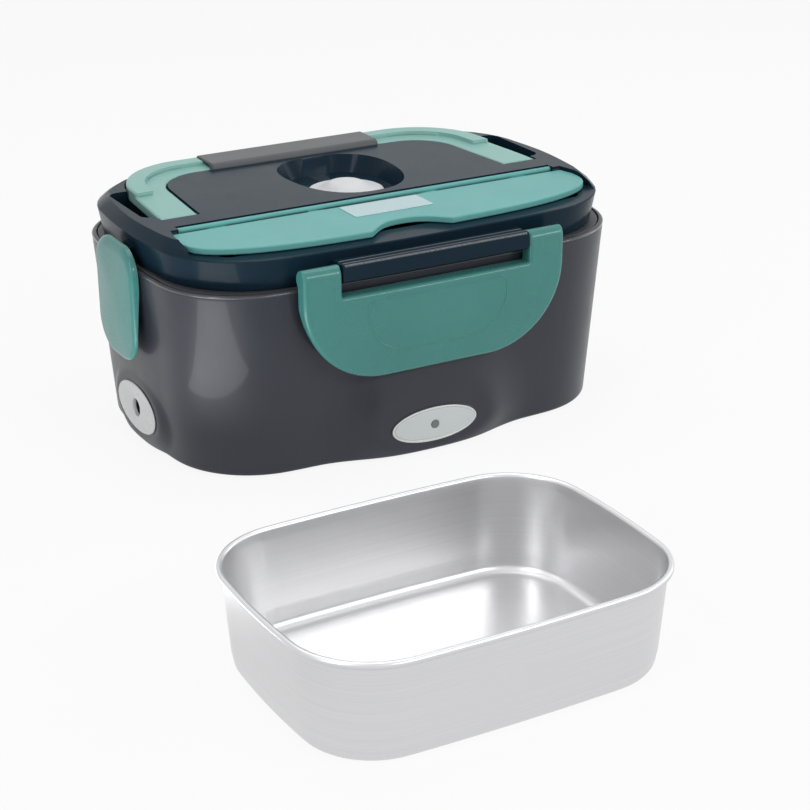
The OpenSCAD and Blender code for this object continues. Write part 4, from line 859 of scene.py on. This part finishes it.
def floor_finish(name, colour, share):
    """Floor that looks plain white to the camera and in reflections, and still takes a shadow."""
    s = Shader(bpy.data.materials.new(name))
    matt = s.node("ShaderNodeBsdfDiffuse", {}, {"Color": colour}, "BSDF")
    glow = s.node("ShaderNodeEmission", {}, {"Color": (1.0, 1.0, 1.0), "Strength": 1.0}, "Emission")
    mixed = s.node("ShaderNodeMixShader", {}, [seen_directly(s) * share, matt, glow], "Shader")
    s.node("ShaderNodeOutputMaterial", {}, {"Surface": mixed})
    return s.owner


def studio_world(name):
    """World that looks plain white to the camera and in reflections, and lights the rest dimly."""
    s = Shader(bpy.data.worlds.new(name))
    dim = s.node("ShaderNodeBackground", {}, {"Color": (0.96, 0.98, 1.0), "Strength": 0.30}, "Background")
    plain = s.node("ShaderNodeBackground", {}, {"Color": (1.0, 1.0, 1.0), "Strength": 1.0}, "Background")
    mixed = s.node("ShaderNodeMixShader", {}, [seen_directly(s), dim, plain], "Shader")
    s.node("ShaderNodeOutputWorld", {}, {"Surface": mixed})
    return s.owner


floor_mesh = bpy.data.meshes.new("floor")
corners = [(6.0 * x, 6.0 * y, FLOOR_Z * MM) for x, y in ((-1, -1), (1, -1), (1, 1), (-1, 1))]
floor_mesh.from_pydata(corners, [], [(0, 1, 2, 3)])
floor = bpy.data.objects.new("floor", floor_mesh)
floor_mesh.materials.append(floor_finish("floor_white", (0.90, 0.90, 0.90), 0.90))
bpy.context.scene.collection.objects.link(floor)
bpy.context.scene.world = studio_world("studio")


def softbox(name, place, aim, size, watts):
    """Rectangular lamp at a place, turned to aim at a point."""
    lamp = bpy.data.lights.new(name, "AREA")
    lamp.shape = "RECTANGLE"
    lamp.size, lamp.size_y = size
    lamp.energy = watts
    stand = bpy.data.objects.new(name, lamp)
    stand.location = place
    stand.visible_camera = False
    stand.rotation_euler = (Vector(aim) - Vector(place)).to_track_quat("-Z", "Y").to_euler()
    bpy.context.scene.collection.objects.link(stand)


softbox("key", (-1.05, -0.55, 0.75), (0, 0, 0.05), (0.18, 0.9), 3.2)
softbox("front", (0.55, -1.20, 0.80), (0, 0, 0.04), (1.3, 0.10), 6.5)
softbox("corner", (-0.245, -0.130, 0.001), (-0.295, -0.152, 0.5), (0.11, 0.24), 0.36)
softbox("top", (0.0, 0.25, 1.25), (0, 0, 0.1), (1.1, 0.8), 4.5)
softbox("right", (1.1, -0.1, 0.5), (0, 0, 0.05), (0.3, 0.8), 1.6)


def camera_at(place, yaw, pitch, roll):
    """Camera at a place in metres, turned right by yaw, down by pitch and then rolled, in radians."""
    lens = bpy.data.cameras.new("camera")
    camera = bpy.data.objects.new("camera", lens)
    bpy.context.scene.collection.objects.link(camera)
    forward = Vector((math.sin(yaw) * math.cos(pitch), math.cos(yaw) * math.cos(pitch), -math.sin(pitch)))
    right = Vector((math.cos(yaw), -math.sin(yaw), 0.0))
    up = right.cross(forward)
    side = right * math.cos(roll) + up * math.sin(roll)
    head = up * math.cos(roll) - right * math.sin(roll)
    turn = camera.matrix_world.to_3x3()
    turn.col[0], turn.col[1], turn.col[2] = side, head, -forward
    camera.matrix_world = turn.to_4x4()
    camera.location = place
    lens.sensor_width = 36.0
    lens.lens = lens.sensor_width * FOCAL_PIXELS / IMAGE_SIZE
    lens.shift_x = (IMAGE_SIZE / 2 - OPTICAL_CENTRE[0]) / IMAGE_SIZE
    lens.shift_y = (OPTICAL_CENTRE[1] - IMAGE_SIZE / 2) / IMAGE_SIZE
    lens.clip_start = 0.01
    return camera


bpy.context.scene.camera = camera_at((-0.4262, -0.8207, 0.3767), 0.512, 0.393, -0.007)
bpy.context.scene.view_settings.view_transform = "Standard"

bpy.context.view_layer.update()
